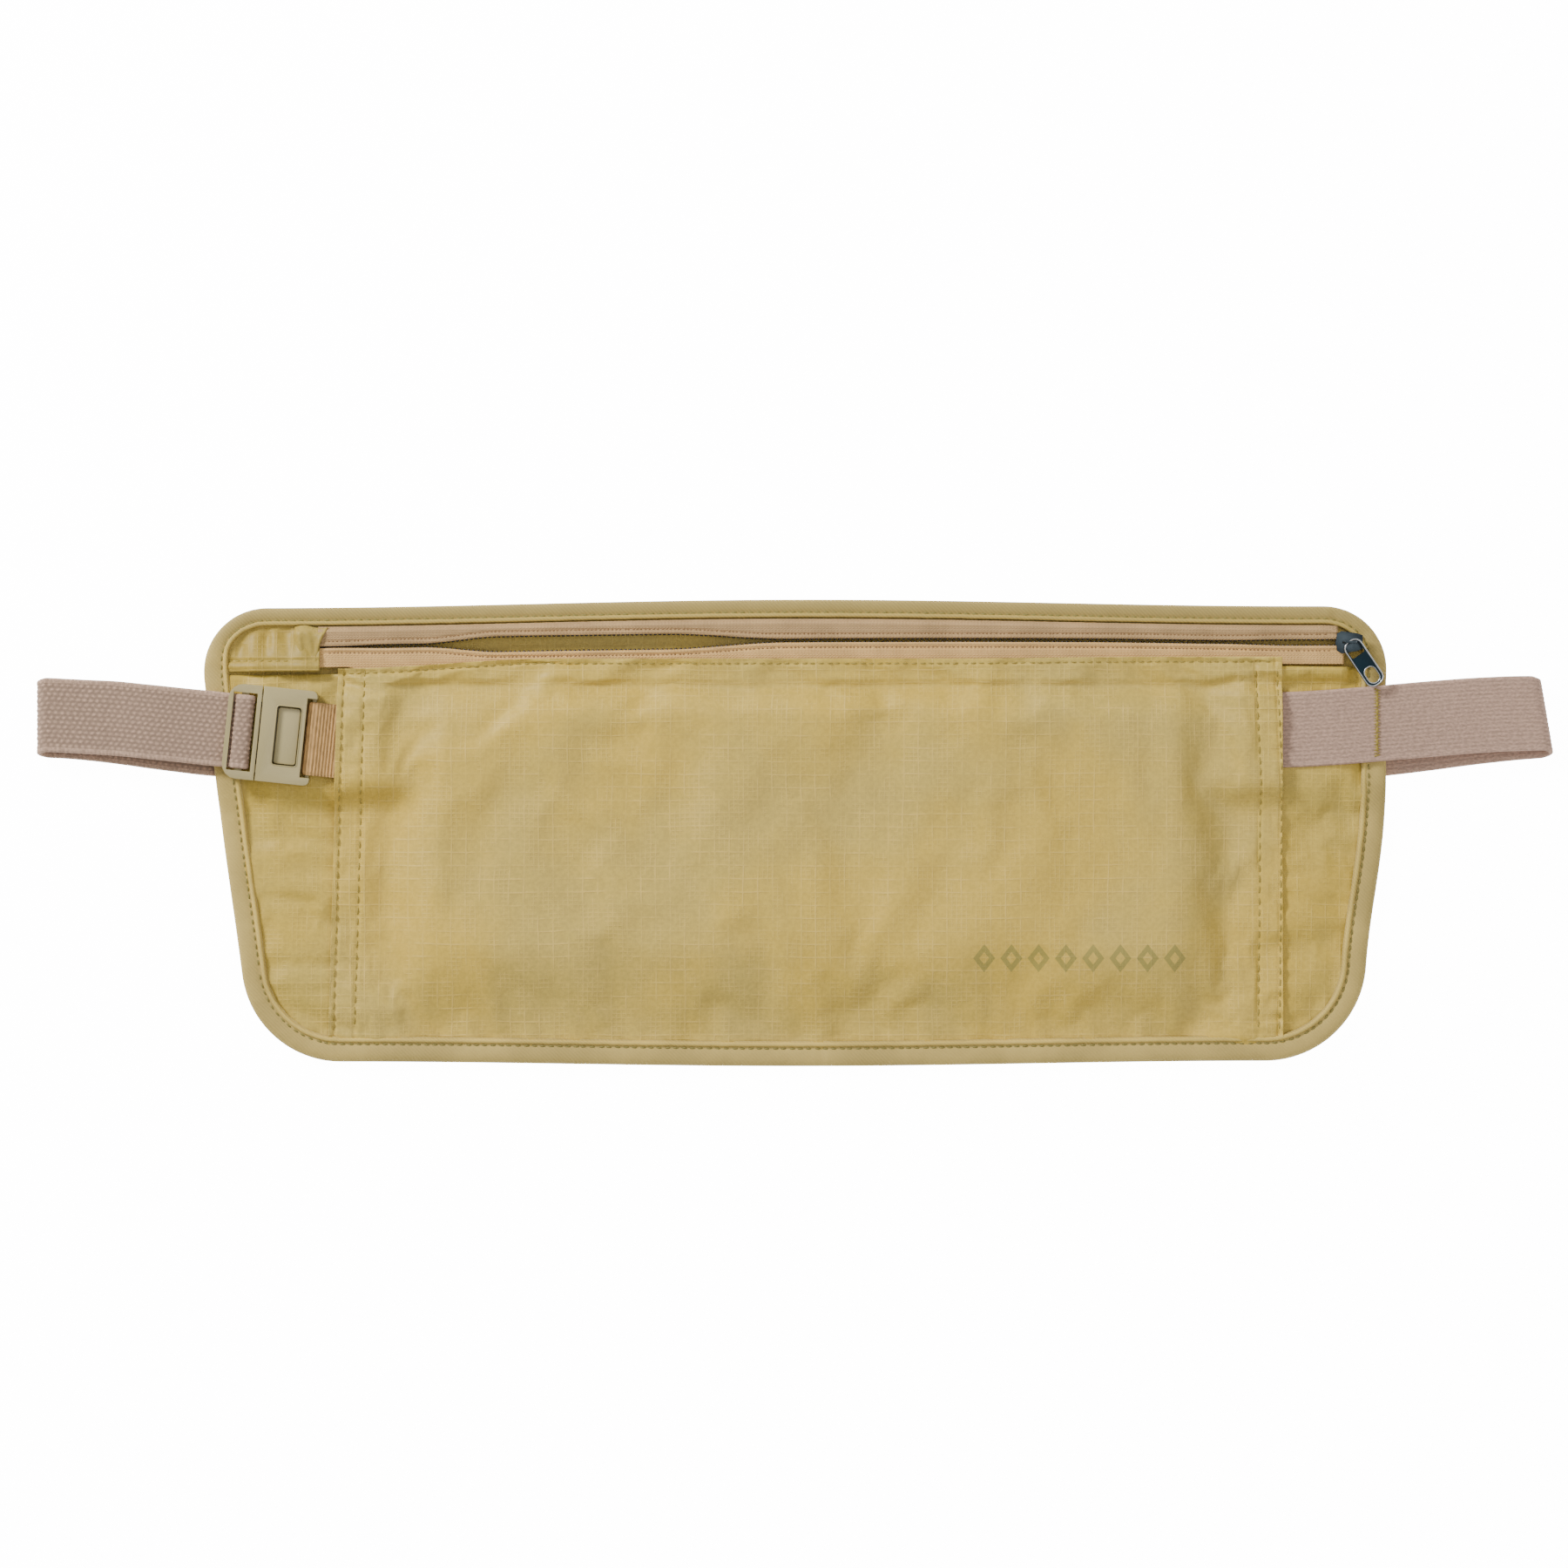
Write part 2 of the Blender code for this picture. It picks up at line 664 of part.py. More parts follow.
def upright_prism(name, outline, y0, y1):
    """Prism along Y from an outline of (x, z) points."""
    n = len(outline)
    verts = [(x, y0, z) for x, z in outline] + [(x, y1, z) for x, z in outline]
    faces = [tuple(range(n)), tuple(range(2 * n - 1, n - 1, -1))]
    for i in range(n):
        j = (i + 1) % n
        faces.append((i, n + i, n + j, j))
    return mesh_from(name, verts, faces)


def zip_puller():
    """Pull tab: rounded plate with an eye round the bail and an oval hole at its tip."""
    hinge = frame_empty("puller_frame", (ZIP_RIGHT.x, ZIP_RIGHT.y, PIVOT_Z), (0.0, 0.0, PULLER_ANGLE))
    half = PULLER_W / 2
    z = PULLER_T / 2
    plate = rounded_box(-0.4, PULLER_L - 0.5, -half, half, 2.2, 5)
    body = add_object("zip_puller", prism("zip_puller", plate, -z, z), METAL, hinge)
    eye = rounded_box(0.3, 4.4, -2.05, 2.05, 0.5, 4)
    combine(body, prism("eye", eye, -2.0, 2.0), "DIFFERENCE", hinge)
    tip = rounded_box(8.6, PULLER_L - 1.4, -1.6, 1.6, 1.5, 5)
    combine(body, prism("tip_hole", tip, -2.0, 2.0), "DIFFERENCE", hinge)


def bent_outline(u0, u1, half, radius):
    """Buckle half outline whose mating edge at u0 is straight and far corners are rounded."""
    points = [(u0, -half), (u1 - radius, -half)]
    for k in range(5):
        a = math.radians(-90 + 90 * k / 4)
        points.append((u1 - radius + radius * math.cos(a), -half + radius + radius * math.sin(a)))
    for k in range(5):
        a = math.radians(90 * k / 4)
        points.append((u1 - radius + radius * math.cos(a), half - radius + radius * math.sin(a)))
    points += [(u0, half)]
    return points


def buckle_frame():
    return frame_empty("buckle_frame", (BUCKLE_AT.x, BUCKLE_AT.y, 0.0), (0.0, 0.0, BUCKLE_TILT))


def across_block(name, u, half, z):
    """Block centred on the buckle's middle line, from (low, high) pairs along u and z."""
    return block(name, *u, -half, half, *z)


def buckle_housing(base):
    """Female half: a shell open to the left, with a window over the pad and a bar for the webbing."""
    outline = bent_outline(*HOUSING_U, BUCKLE_HALF_W, 1.6)
    shell = add_object("buckle_housing", prism("buckle_housing", outline, *HOUSING_Z), PLASTIC, base)
    window = rounded_box(*WINDOW_U, -WINDOW_HALF_W, WINDOW_HALF_W, 0.8, 3)
    combine(shell, across_block("cavity", CAVITY_U, CAVITY_HALF_W, CAVITY_Z), "DIFFERENCE", base)
    combine(shell, prism("window", window, *WINDOW_Z), "DIFFERENCE", base)
    bay = across_block("webbing_bay", WEBBING_BAY_U, WEBBING_BAY_HALF_W, THROUGH_Z)
    combine(shell, bay, "DIFFERENCE", base)
    combine(shell, across_block("webbing_bar", WEBBING_BAR_U, BAR_REACH, WEBBING_BAR_Z), "UNION", base)


def buckle_tongue(base):
    """Male half: a frame with the ladder bar, and a prong plate that runs into the housing."""
    outline = [(-u, v) for u, v in bent_outline(*TONGUE_U, BUCKLE_HALF_W, TONGUE_CORNER)][::-1]
    body = add_object("buckle_tongue", prism("buckle_tongue", outline, *TONGUE_Z), PLASTIC, base)
    combine(body, across_block("strap_bay", STRAP_BAY_U, STRAP_BAY_HALF_W, THROUGH_Z), "DIFFERENCE", base)
    rail = across_block("under_rail", UNDER_RAIL_U, STRAP_BAY_HALF_W, UNDER_RAIL_Z)
    combine(body, rail, "DIFFERENCE", base)
    combine(body, across_block("ladder_bar", LADDER_BAR_U, BAR_REACH, LADDER_BAR_Z), "UNION", base)
    combine(body, across_block("prong_plate", PRONG_U, PRONG_HALF_W, PRONG_Z), "UNION", base)
    for side in (-1, 1):
        low, high = sorted((side * GUIDE_V[0], side * GUIDE_V[1]))
        combine(body, block(f"guide_{side}", *GUIDE_U, low, high, *GUIDE_Z), "UNION", base)


def release_button(base):
    pad = rounded_box(*PAD_U, -PAD_HALF_W, PAD_HALF_W, 0.7, 3)
    add_object("release_button", prism("release_button", pad, *PAD_Z), PLASTIC, base)


# ---------------------------------------------------------------- straps

def offset_path(points):
    """Path of (point, normal) pairs from points in a vertical plane; the normal lies in the plane."""
    made = []
    for k, point in enumerate(points):
        a = points[max(k - 1, 0)]
        b = points[min(k + 1, len(points) - 1)]
        along = (b - a).normalized()
        side = Vector((0, 1, 0))
        made.append((point, along.cross(side).normalized()))
    return made


def fold_points(x, low_z, high_z, lean, toward, count=9):
    """Half turn of the strap at one end of the belt, from its lower run to its upper one."""
    radius = (high_z - low_z) / 2
    points = []
    for k in range(count):
        a = math.pi * k / (count - 1)
        points.append(Vector((x + toward * radius * math.sin(a), lean(k / (count - 1)),
                              low_z + radius * (1 - math.cos(a)))))
    return points


def waist_strap():
    """Elastic sewn at the right seam: out to the right, back behind the pouch, and on to the left."""
    half = STRAP_T / 2
    top = STRAP_TOP_Z + half
    points = []
    for k in range(9):
        x = lerp(128.5, FOLD_RIGHT_X, k / 8)
        points.append(Vector((x, lerp(27.4, 32.0, ease((x - 128.0) / 78.0)), top)))
    lean = [32.0, strap_centre(FOLD_RIGHT_X)]
    points += fold_points(FOLD_RIGHT_X, half, top, lambda t: lerp(*lean, t), 1)[::-1][1:]
    for k in range(1, 33):
        x = lerp(FOLD_RIGHT_X, FOLD_LEFT_X + 4.0, k / 32)
        points.append(Vector((x, strap_centre(x), half)))
    ribbon("waist_strap", offset_path(points), STRAP_W, STRAP_T, lambda k: Vector((0, 1, 0)), ELASTIC)


def adjuster_strap():
    """Elastic on the buckle's tongue: tail, turn round the ladder bar, run out and fold under."""
    half = STRAP_T / 2
    local = Matrix.Translation((BUCKLE_AT.x, BUCKLE_AT.y, 0)) @ Matrix.Rotation(BUCKLE_TILT, 4, "Z")
    thick = 1.2
    tail_z = 4.75 + thick / 2
    run_z = 6.3 + thick / 2
    tail = [(-34.0, tail_z), (-22.0, tail_z), (-12.0, tail_z), (-6.2, tail_z + 0.05)]
    turn = [(-5.35, tail_z + 0.5), (-5.05, tail_z + 1.4), (-5.05, 8.6), (-5.4, 9.35), (-6.1, 9.65),
            (-8.3, 9.65), (-9.0, 9.35), (-9.3, 8.7), (-9.4, 7.6), (-9.9, run_z + 0.1)]
    run = [(-10.8, run_z), (-22.0, run_z), (-34.0, run_z), (-42.0, run_z - 0.9)]
    around = tail + turn + run
    points = [local @ Vector((u, 0.0, z)) for u, z in around]
    last = points[-1]
    for k in range(1, 5):
        x = lerp(last.x, FOLD_LEFT_X, k / 4)
        points.append(Vector((x, lerp(last.y, 32.6, k / 4), lerp(last.z, STRAP_TOP_Z + half, k / 4))))
    points += fold_points(FOLD_LEFT_X, half, STRAP_TOP_Z + half,
                          lambda t: lerp(strap_centre(FOLD_LEFT_X), 32.6, t), -1)[::-1][1:]
    points.append(Vector((FOLD_LEFT_X + 3.7, strap_centre(FOLD_LEFT_X + 3.7), half)))
    side = local.to_3x3() @ Vector((0, 1, 0))
    level = Vector((0, 1, 0))
    first_level = len(around)

    def across(k):
        return side if k < first_level else side.lerp(level, min(1.0, (k - first_level) / 4)).normalized()

    ribbon("adjuster_strap", offset_path(points), STRAP_W, thick, across, ELASTIC)


def buckle_webbing():
    """Grosgrain loop round the housing's bar, both ends sewn under the front panel's edge."""
    local = Matrix.Translation((BUCKLE_AT.x, BUCKLE_AT.y, 0)) @ Matrix.Rotation(BUCKLE_TILT, 4, "Z")
    low = 4.75 + WEBBING_T / 2
    lower = [(25.0, low), (20.0, low), (14.0, low), (11.9, low + 0.2)]
    turn = [(11.0, 5.85), (10.6, 6.4), (10.5, 7.0), (10.6, 7.6), (11.0, 8.15), (11.8, 8.4), (12.8, 8.2)]
    upper = [(14.6, 7.4), (17.0, 6.5), (19.0, 6.35), (22.0, 6.35), (25.0, 6.35)]
    around = lower + turn + upper
    points = [local @ Vector((u, 0.0, z)) for u, z in around]
    side = local.to_3x3() @ Vector((0, 1, 0))
    ribbon("buckle_webbing", offset_path(points), WEBBING_W - 0.4, WEBBING_T, lambda k: side, WEBBING)


# ---------------------------------------------------------------- threads

def threads():
    def on_panel(x, y, clear=1.0):
        return (x, y, panel_floor(x, y) + PANEL_T + clear)

    rows = {"left_seam_outer": (LEFT_EDGE, 1.3), "left_seam_inner": (LEFT_EDGE, 7.2),
            "right_seam_outer": (RIGHT_EDGE, -1.3), "right_seam_inner": (RIGHT_EDGE, -7.2)}
    for name, (edge, shift) in rows.items():
        route = [on_panel(x, y) for x, y in seam_run(edge, *SEAM_THREAD_Y, 31, shift)]
        thread(f"{name}_thread", route, THREAD)
    xs = [lerp(-114.0, 121.0, k / 36) for k in range(37)]
    thread("zip_seam_thread", [on_panel(x, panel_top(x) - 1.2, 0.5) for x in xs], THREAD)
    tack = [(160.4, lerp(36.5, 19.5, k / 4), STRAP_TOP_Z + STRAP_T + GAP) for k in range(5)]
    thread("strap_tack_thread", tack, THREAD)


def build():
    for old in list(bpy.data.objects):
        bpy.data.objects.remove(old, do_unlink=True)
    back_panel()
    front_panel()
    left_wing()
    right_wing()
    corner_panel()
    edge_binding()
    upper_tape()
    lower_tape()
    coil("zip_coil_upper", 1.0, 149.0)
    coil("zip_coil_lower", -1.0, 150.6)
    zip_end_tab()
    zip_slider()
    zip_puller()
    base = buckle_frame()
    buckle_housing(base)
    buckle_tongue(base)
    release_button(base)
    waist_strap()
    adjuster_strap()
    buckle_webbing()
    threads()


build()
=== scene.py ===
"""Looks of the travel money belt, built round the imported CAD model.

Lengths are in millimetres until a mesh is made; +X runs along the strap, +Y up the pouch to the zip.
"""
import math

import bmesh
import bpy
import numpy as np
from mathutils import Matrix, Vector, noise
from mathutils.bvhtree import BVHTree


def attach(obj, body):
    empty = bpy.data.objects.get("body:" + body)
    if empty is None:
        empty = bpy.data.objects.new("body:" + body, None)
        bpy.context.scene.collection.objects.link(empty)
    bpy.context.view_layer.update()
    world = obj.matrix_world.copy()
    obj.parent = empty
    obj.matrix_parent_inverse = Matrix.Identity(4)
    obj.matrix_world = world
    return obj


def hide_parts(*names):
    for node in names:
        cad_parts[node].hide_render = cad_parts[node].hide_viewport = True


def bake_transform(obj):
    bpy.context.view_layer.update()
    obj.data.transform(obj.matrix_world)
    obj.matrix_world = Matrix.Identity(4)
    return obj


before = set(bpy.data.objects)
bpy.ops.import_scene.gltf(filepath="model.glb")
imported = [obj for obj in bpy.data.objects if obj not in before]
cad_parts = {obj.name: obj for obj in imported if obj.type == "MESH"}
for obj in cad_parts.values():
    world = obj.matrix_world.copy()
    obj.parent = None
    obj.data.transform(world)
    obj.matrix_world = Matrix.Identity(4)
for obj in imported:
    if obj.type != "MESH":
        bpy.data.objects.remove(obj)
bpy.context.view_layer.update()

MM = 0.001
RNG = np.random.default_rng(7)
CLOTH_T = 0.28
SPARE = 0.012
RIM_INSET = 1.4
PULLER_CLEAR = 7.45
PULLER_TIP_Y = 39.5


# ---------------------------------------------------------------- helpers

def ease(t):
    t = np.clip(t, 0.0, 1.0)
    return t * t * (3.0 - 2.0 * t)


def lerp(a, b, t):
    return a + (b - a) * t


def rough(x, y, scale, seed=0.0, octaves=2):
    """Smooth noise from about -1 to 1 over a length scale in millimetres."""
    return noise.fractal(Vector((x / scale, y / scale, seed)), 0.7, 2.1, octaves)


def skin(faces, rings, sides, start=0, closed=False):
    """Quads from each ring of points to the next, and a cap at each end of an open run."""
    for k in range(rings if closed else rings - 1):
        a = start + k * sides
        b = start + (k + 1) % rings * sides
        for s in range(sides):
            d = (s + 1) % sides
            faces.append((a + s, a + d, b + d, b + s))
    if not closed:
        faces.append(tuple(start + s for s in range(sides - 1, -1, -1)))
        faces.append(tuple(start + (rings - 1) * sides + s for s in range(sides)))


def mesh_object(name, verts, faces):
    mesh = bpy.data.meshes.new(name)
    mesh.from_pydata([(x * MM, y * MM, z * MM) for x, y, z in verts], [], faces)
    work = bmesh.new()
    work.from_mesh(mesh)
    bmesh.ops.recalc_face_normals(work, faces=work.faces)
    work.to_mesh(mesh)
    work.free()
    mesh.shade_smooth()
    thing = bpy.data.objects.new(name, mesh)
    bpy.context.scene.collection.objects.link(thing)
    return thing


def place(thing, look, slot, body, *nodes):
    """Give a finished piece its material and its body, and hide the CAD nodes it stands for; the slot is not
    used.
    """
    thing.data.materials.clear()
    thing.data.materials.append(look)
    if nodes:
        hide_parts(*nodes)
    if body:
        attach(thing, body)
    return thing


def sheet_mesh(name, xs, ys, zs, thickness):
    """Closed thin sheet from (rows, columns) arrays of its upper surface."""
    rows, columns = xs.shape
    verts = []
    for drop in (0.0, thickness):
        for j in range(rows):
            for i in range(columns):
                verts.append((xs[j, i], ys[j, i], zs[j, i] - drop))
    layer = rows * columns
    faces = []
    for j in range(rows - 1):
        for i in range(columns - 1):
            a = j * columns + i
            b = a + columns
            faces.append((a, a + 1, b + 1, b))
            faces.append((a + layer, b + layer, b + 1 + layer, a + 1 + layer))
    rim = [i for i in range(columns)]
    rim += [j * columns + columns - 1 for j in range(1, rows)]
    rim += [(rows - 1) * columns + i for i in range(columns - 2, -1, -1)]
    rim += [j * columns for j in range(rows - 2, 0, -1)]
    for k, a in enumerate(rim):
        b = rim[(k + 1) % len(rim)]
        faces.append((a, a + layer, b + layer, b))
    return mesh_object(name, verts, faces)


def fine_ends(count, crowd):
    """Steps from 0 to 1 that crowd together at both ends."""
    t = np.linspace(0.0, 1.0, count)
    return t - crowd * np.sin(2 * math.pi * t) / (2 * math.pi)


def ruled(first, second, columns, crowd=0.0):
    """Arrays of x and y between two runs of points, as rows along the runs."""
    first = np.array(first)
    second = np.array(second)
    t = fine_ends(columns + 1, crowd)
    grid = first[:, None, :] * (1 - t)[None, :, None] + second[:, None, :] * t[None, :, None]
    return grid[:, :, 0], grid[:, :, 1]


# ---------------------------------------------------------------- the pouch's shape, as in the CAD

CORNERS = [(-149.6, -63.3), (156.2, -63.0), (164.9, 62.7), (-165.6, 62.1)]
CORNER_RADII = [27.5, 28.0, 17.5, 17.5]
SIDE_BOWS = [1.35, 2.2, 2.05, 0.4]
STRAP_W = 20.5
STRAP_Y = 25.4
LEFT_EDGE = [(-125.9, 45.3), (-127.0, 13.0), (-129.2, -62.0)]
RIGHT_EDGE = [(134.4, 47.3), (136.0, 13.0), (135.4, -62.0)]
ZIP_LEFT = (-130.5, 51.2)
ZIP_RIGHT = (153.0, 52.6)


def rounded_outline():
    points = []
    arcs = []
    for i in range(4):
        here = Vector(CORNERS[i])
        to_prev = (Vector(CORNERS[i - 1]) - here).normalized()
        to_next = (Vector(CORNERS[(i + 1) % 4]) - here).normalized()
        half = to_prev.angle(to_next) / 2
        centre = here + (to_prev + to_next).normalized() * (CORNER_RADII[i] / math.sin(half))
        start = here + to_prev * (CORNER_RADII[i] / math.tan(half)) - centre
        sweep = math.pi - 2 * half
        arcs.append([centre + Matrix.Rotation(sweep * k / 32, 2) @ start for k in range(33)])
    for i in range(4):
        points.extend(arcs[i])
        leave = arcs[i][-1]
        arrive = arcs[(i + 1) % 4][0]
        along = (arrive - leave).normalized()
        outward = Vector((along.y, -along.x))
        for k in range(1, 90):
            t = k / 90
            points.append(leave.lerp(arrive, t) + outward * SIDE_BOWS[i] * math.sin(math.pi * t) ** 2)
    points = np.array([tuple(p) for p in points])
    ahead = np.roll(points, -1, axis=0) - np.roll(points, 1, axis=0)
    normals = np.stack([ahead[:, 1], -ahead[:, 0]], axis=1)
    return points, normals / np.linalg.norm(normals, axis=1)[:, None]


OUTLINE, OUTWARD = rounded_outline()
STEPS = np.linalg.norm(np.roll(OUTLINE, -1, axis=0) - OUTLINE, axis=1)
REACH = np.concatenate([[0.0], np.cumsum(STEPS)])
LENGTH = float(REACH[-1])


def outline_points(reach, inset=0.0):
    """Arrays of x and y at distances along the outline, set in from it."""
    reach = np.asarray(reach) % LENGTH
    closed = np.vstack([OUTLINE, OUTLINE[:1]])
    closed_normals = np.vstack([OUTWARD, OUTWARD[:1]])
    x, y = (np.interp(reach, REACH, closed[:, c]) for c in range(2))
    nx, ny = (np.interp(reach, REACH, closed_normals[:, c]) for c in range(2))
    size = np.hypot(nx, ny)
    nx = nx / size
    ny = ny / size
    return x - nx * inset, y - ny * inset


def reach_near(x, y):
    return float(REACH[np.argmin((OUTLINE[:, 0] - x) ** 2 + (OUTLINE[:, 1] - y) ** 2)])


def outline_run(start, end, count, inset, clockwise=False):
    a = reach_near(*start)
    b = reach_near(*end)
    span = (a - b) % LENGTH if clockwise else (b - a) % LENGTH
    sign = -1.0 if clockwise else 1.0
    x, y = outline_points(a + sign * span * np.linspace(0, 1, count), inset)
    return np.stack([x, y], axis=1)


DEPTH_STEP = 2.0
DEPTH_LOW = (-172.0, -70.0)
DEPTH_SHAPE = (173, 71)


def depth_table():
    """Depth inside the outline on a coarse grid, read by depth_inside."""
    a = OUTLINE
    along = np.roll(OUTLINE, -1, axis=0) - a
    table = np.zeros(DEPTH_SHAPE)
    for i in range(DEPTH_SHAPE[0]):
        for j in range(DEPTH_SHAPE[1]):
            p = np.array([DEPTH_LOW[0] + i * DEPTH_STEP, DEPTH_LOW[1] + j * DEPTH_STEP])
            t = np.clip(((p - a) * along).sum(1) / np.maximum((along ** 2).sum(1), 1e-9), 0, 1)
            table[i, j] = np.min(np.linalg.norm(a + along * t[:, None] - p, axis=1))
    return table


DEPTHS = depth_table()


def depth_inside(x, y):
    u = np.clip((np.asarray(x) - DEPTH_LOW[0]) / DEPTH_STEP, 0, DEPTH_SHAPE[0] - 1.001)
    v = np.clip((np.asarray(y) - DEPTH_LOW[1]) / DEPTH_STEP, 0, DEPTH_SHAPE[1] - 1.001)
    i = u.astype(int)
    j = v.astype(int)
    fu = u - i
    fv = v - j
    low = DEPTHS[i, j] * (1 - fu) + DEPTHS[i + 1, j] * fu
    high = DEPTHS[i, j + 1] * (1 - fu) + DEPTHS[i + 1, j + 1] * fu
    return low * (1 - fv) + high * fv


def strap_centre(x):
    return STRAP_Y + 5.6 * ease((np.abs(x) - 150.0) / 60.0)


def lift(x, y):
    beside = np.abs(y - strap_centre(x)) - STRAP_W / 2 - 0.8
    return 1.6 * (1.0 - ease(beside / 10.0))


def front_floor(x, y):
    """Height of the front layers, low under the strap, full in the middle and high along the zip."""
    depth = depth_inside(x, y)
    low = lift(x, y) + 0.8 * ease((depth - 8.0) / 8.0)
    middle = 6.1 * ease((x + 117.0) / 22.0) * ease((125.0 - x) / 22.0)
    middle *= ease((y + 58.0) / 28.0) * ease((50.0 - y) / 19.0)
    start = lerp(41.5, 37.4, ease((x + 128.0) / 10.0)) + 1.6 * ease((x - 112.0) / 10.0)
    ridge = 4.05 * ease((y - start) / 5.5) * ease((x + 141.0) / 9.0) * ease((depth - 9.2) / 2.8)
    return 1.6 + (low ** 4 + middle ** 4 + ridge ** 4) ** 0.25


def through(points, y):
    table = sorted((p[1], p[0]) for p in points)
    return np.interp(y, [t[0] for t in table], [t[1] for t in table])


def panel_floor(x, y):
    """Height of the front panel, which laps over the wings and the strap ends at both sides."""
    left = ease((through(LEFT_EDGE, y) + 29.0 - x) / 19.0)
    right = ease((x - through(RIGHT_EDGE, y) + 27.0) / 17.0)
    step = 0.85 * ease((y + 59.0) / 3.0)
    end = 1.0 - ease((np.abs(y - STRAP_Y) - STRAP_W / 2 - 1.0) / 8.0)
    return front_floor(x, y) + left * (step + 2.7 * end) + right * (step + 1.9 * end)


def zip_y(x):
    """Middle of the zip: its slider runs on a straight line, and the cloth bows a little above it."""
    t = (x - ZIP_LEFT[0]) / (ZIP_RIGHT[0] - ZIP_LEFT[0])
    bow = 1.25 * np.sin(math.pi * np.clip(t, 0, 1)) * ease((1 - t) * 4.0)
    return lerp(ZIP_LEFT[1], ZIP_RIGHT[1], t) + bow


def half_gap(x):
    """Half the opening between the two rows: a thin slit, wider at the mouth."""
    mouth = ease((x + 103.0) / 22.0) * ease((-2.0 - x) / 34.0)
    right = ease((x - 118.0) / 20.0) * 0.35
    left = ease((-112.0 - x) / 14.0) * 0.3
    return 0.55 + 1.65 * mouth + right - left


def panel_top(x):
    return 45.3 + 2.8 * ease((x + 126.0) / 60.0) + 0.5 * ease((x - 40.0) / 60.0)


# ---------------------------------------------------------------- materials

class Look:
    """Small builder for a procedural material."""

    def __init__(self, name, color, roughness, metallic=0.0, sheen=0.0):
        self.made = bpy.data.materials.new(name)
        self.made.use_nodes = True
        self.tree = self.made.node_tree
        self.shader = self.tree.nodes["Principled BSDF"]
        given = {"Base Color": (*color, 1.0), "Roughness": roughness, "Metallic": metallic,
                 "Sheen Weight": sheen, "Sheen Tint": (*color, 1.0)}
        for socket, value in given.items():
            self.shader.inputs[socket].default_value = value
        where = self.node("ShaderNodeTexCoord")
        self.where = where.outputs["Object"]
        parts = self.node("ShaderNodeSeparateXYZ")
        self.tree.links.new(self.where, parts.inputs[0])
        self.x = parts.outputs["X"]
        self.y = parts.outputs["Y"]

    def node(self, kind, **settings):
        made = self.tree.nodes.new(kind)
        for key, value in settings.items():
            setattr(made, key, value)
        return made

    def put(self, socket, value):
        if isinstance(value, bpy.types.NodeSocket):
            self.tree.links.new(value, socket)
        else:
            socket.default_value = value

    def math(self, operation, a, b=0.0, c=0.0):
        made = self.node("ShaderNodeMath", operation=operation)
        self.put(made.inputs[0], a)
        self.put(made.inputs[1], b)
        self.put(made.inputs[2], c)
        return made.outputs[0]

    def times(self, a, b):
        return self.math("MULTIPLY", a, b)

    def apart(self, a, b):
        return self.math("ABSOLUTE", self.math("SUBTRACT", a, b))

    def ramp(self, value, low, high, out_low=0.0, out_high=1.0):
        made = self.node("ShaderNodeMapRange", interpolation_type="SMOOTHSTEP")
        for socket, given in (("Value", value), ("From Min", low), ("From Max", high),
                              ("To Min", out_low), ("To Max", out_high)):
            self.put(made.inputs[socket], given)
        return made.outputs["Result"]

    def rib(self, coordinate, period, phase=0.0):
        """Rounded ribs from 0 to 1 across a coordinate in metres."""
        turn = self.math("MULTIPLY_ADD", coordinate, 2 * math.pi / period, phase)
        return self.math("MULTIPLY_ADD", self.math("SINE", turn), 0.5, 0.5)

    def line(self, coordinate, period, width):
        """Thin lines of 1 on 0, once every period."""
        share = self.math("FRACT", self.math("DIVIDE", coordinate, period))
        away = self.apart(share, 0.5)
        return self.ramp(away, 0.5 * width / period, 1.1 * width / period, 1.0, 0.0)

    def noise(self, scale, detail=2.0, stretch=(1.0, 1.0, 1.0)):
        mapping = self.node("ShaderNodeMapping")
        mapping.inputs["Scale"].default_value = stretch
        self.tree.links.new(self.where, mapping.inputs["Vector"])
        made = self.node("ShaderNodeTexNoise")
        made.inputs["Scale"].default_value = scale
        made.inputs["Detail"].default_value = detail
        self.tree.links.new(mapping.outputs[0], made.inputs["Vector"])
        return made.outputs["Fac"]

    def mix(self, factor, a, b):
        made = self.node("ShaderNodeMix", data_type="RGBA")
        self.put(made.inputs["Factor"], factor)
        for socket, value in ((made.inputs["A"], a), (made.inputs["B"], b)):
            self.put(socket, (*value, 1.0) if isinstance(value, tuple) else value)
        return made.outputs["Result"]

    def mottle(self, scale, detail, low, high, a, b):
        """Two tones in patches."""
        return self.mix(self.ramp(self.noise(scale, detail), low, high), a, b)

    def paint(self, color):
        self.tree.links.new(color, self.shader.inputs["Base Color"])

    def bump(self, height, distance, strength=1.0):
        made = self.node("ShaderNodeBump")
        made.inputs["Distance"].default_value = distance
        made.inputs["Strength"].default_value = strength
        self.tree.links.new(height, made.inputs["Height"])
        before = self.shader.inputs["Normal"].links
        if before:
            self.tree.links.new(before[0].from_socket, made.inputs["Normal"])
        self.tree.links.new(made.outputs[0], self.shader.inputs["Normal"])


def shade(color, factor):
    return tuple(min(1.0, c * factor) for c in color)


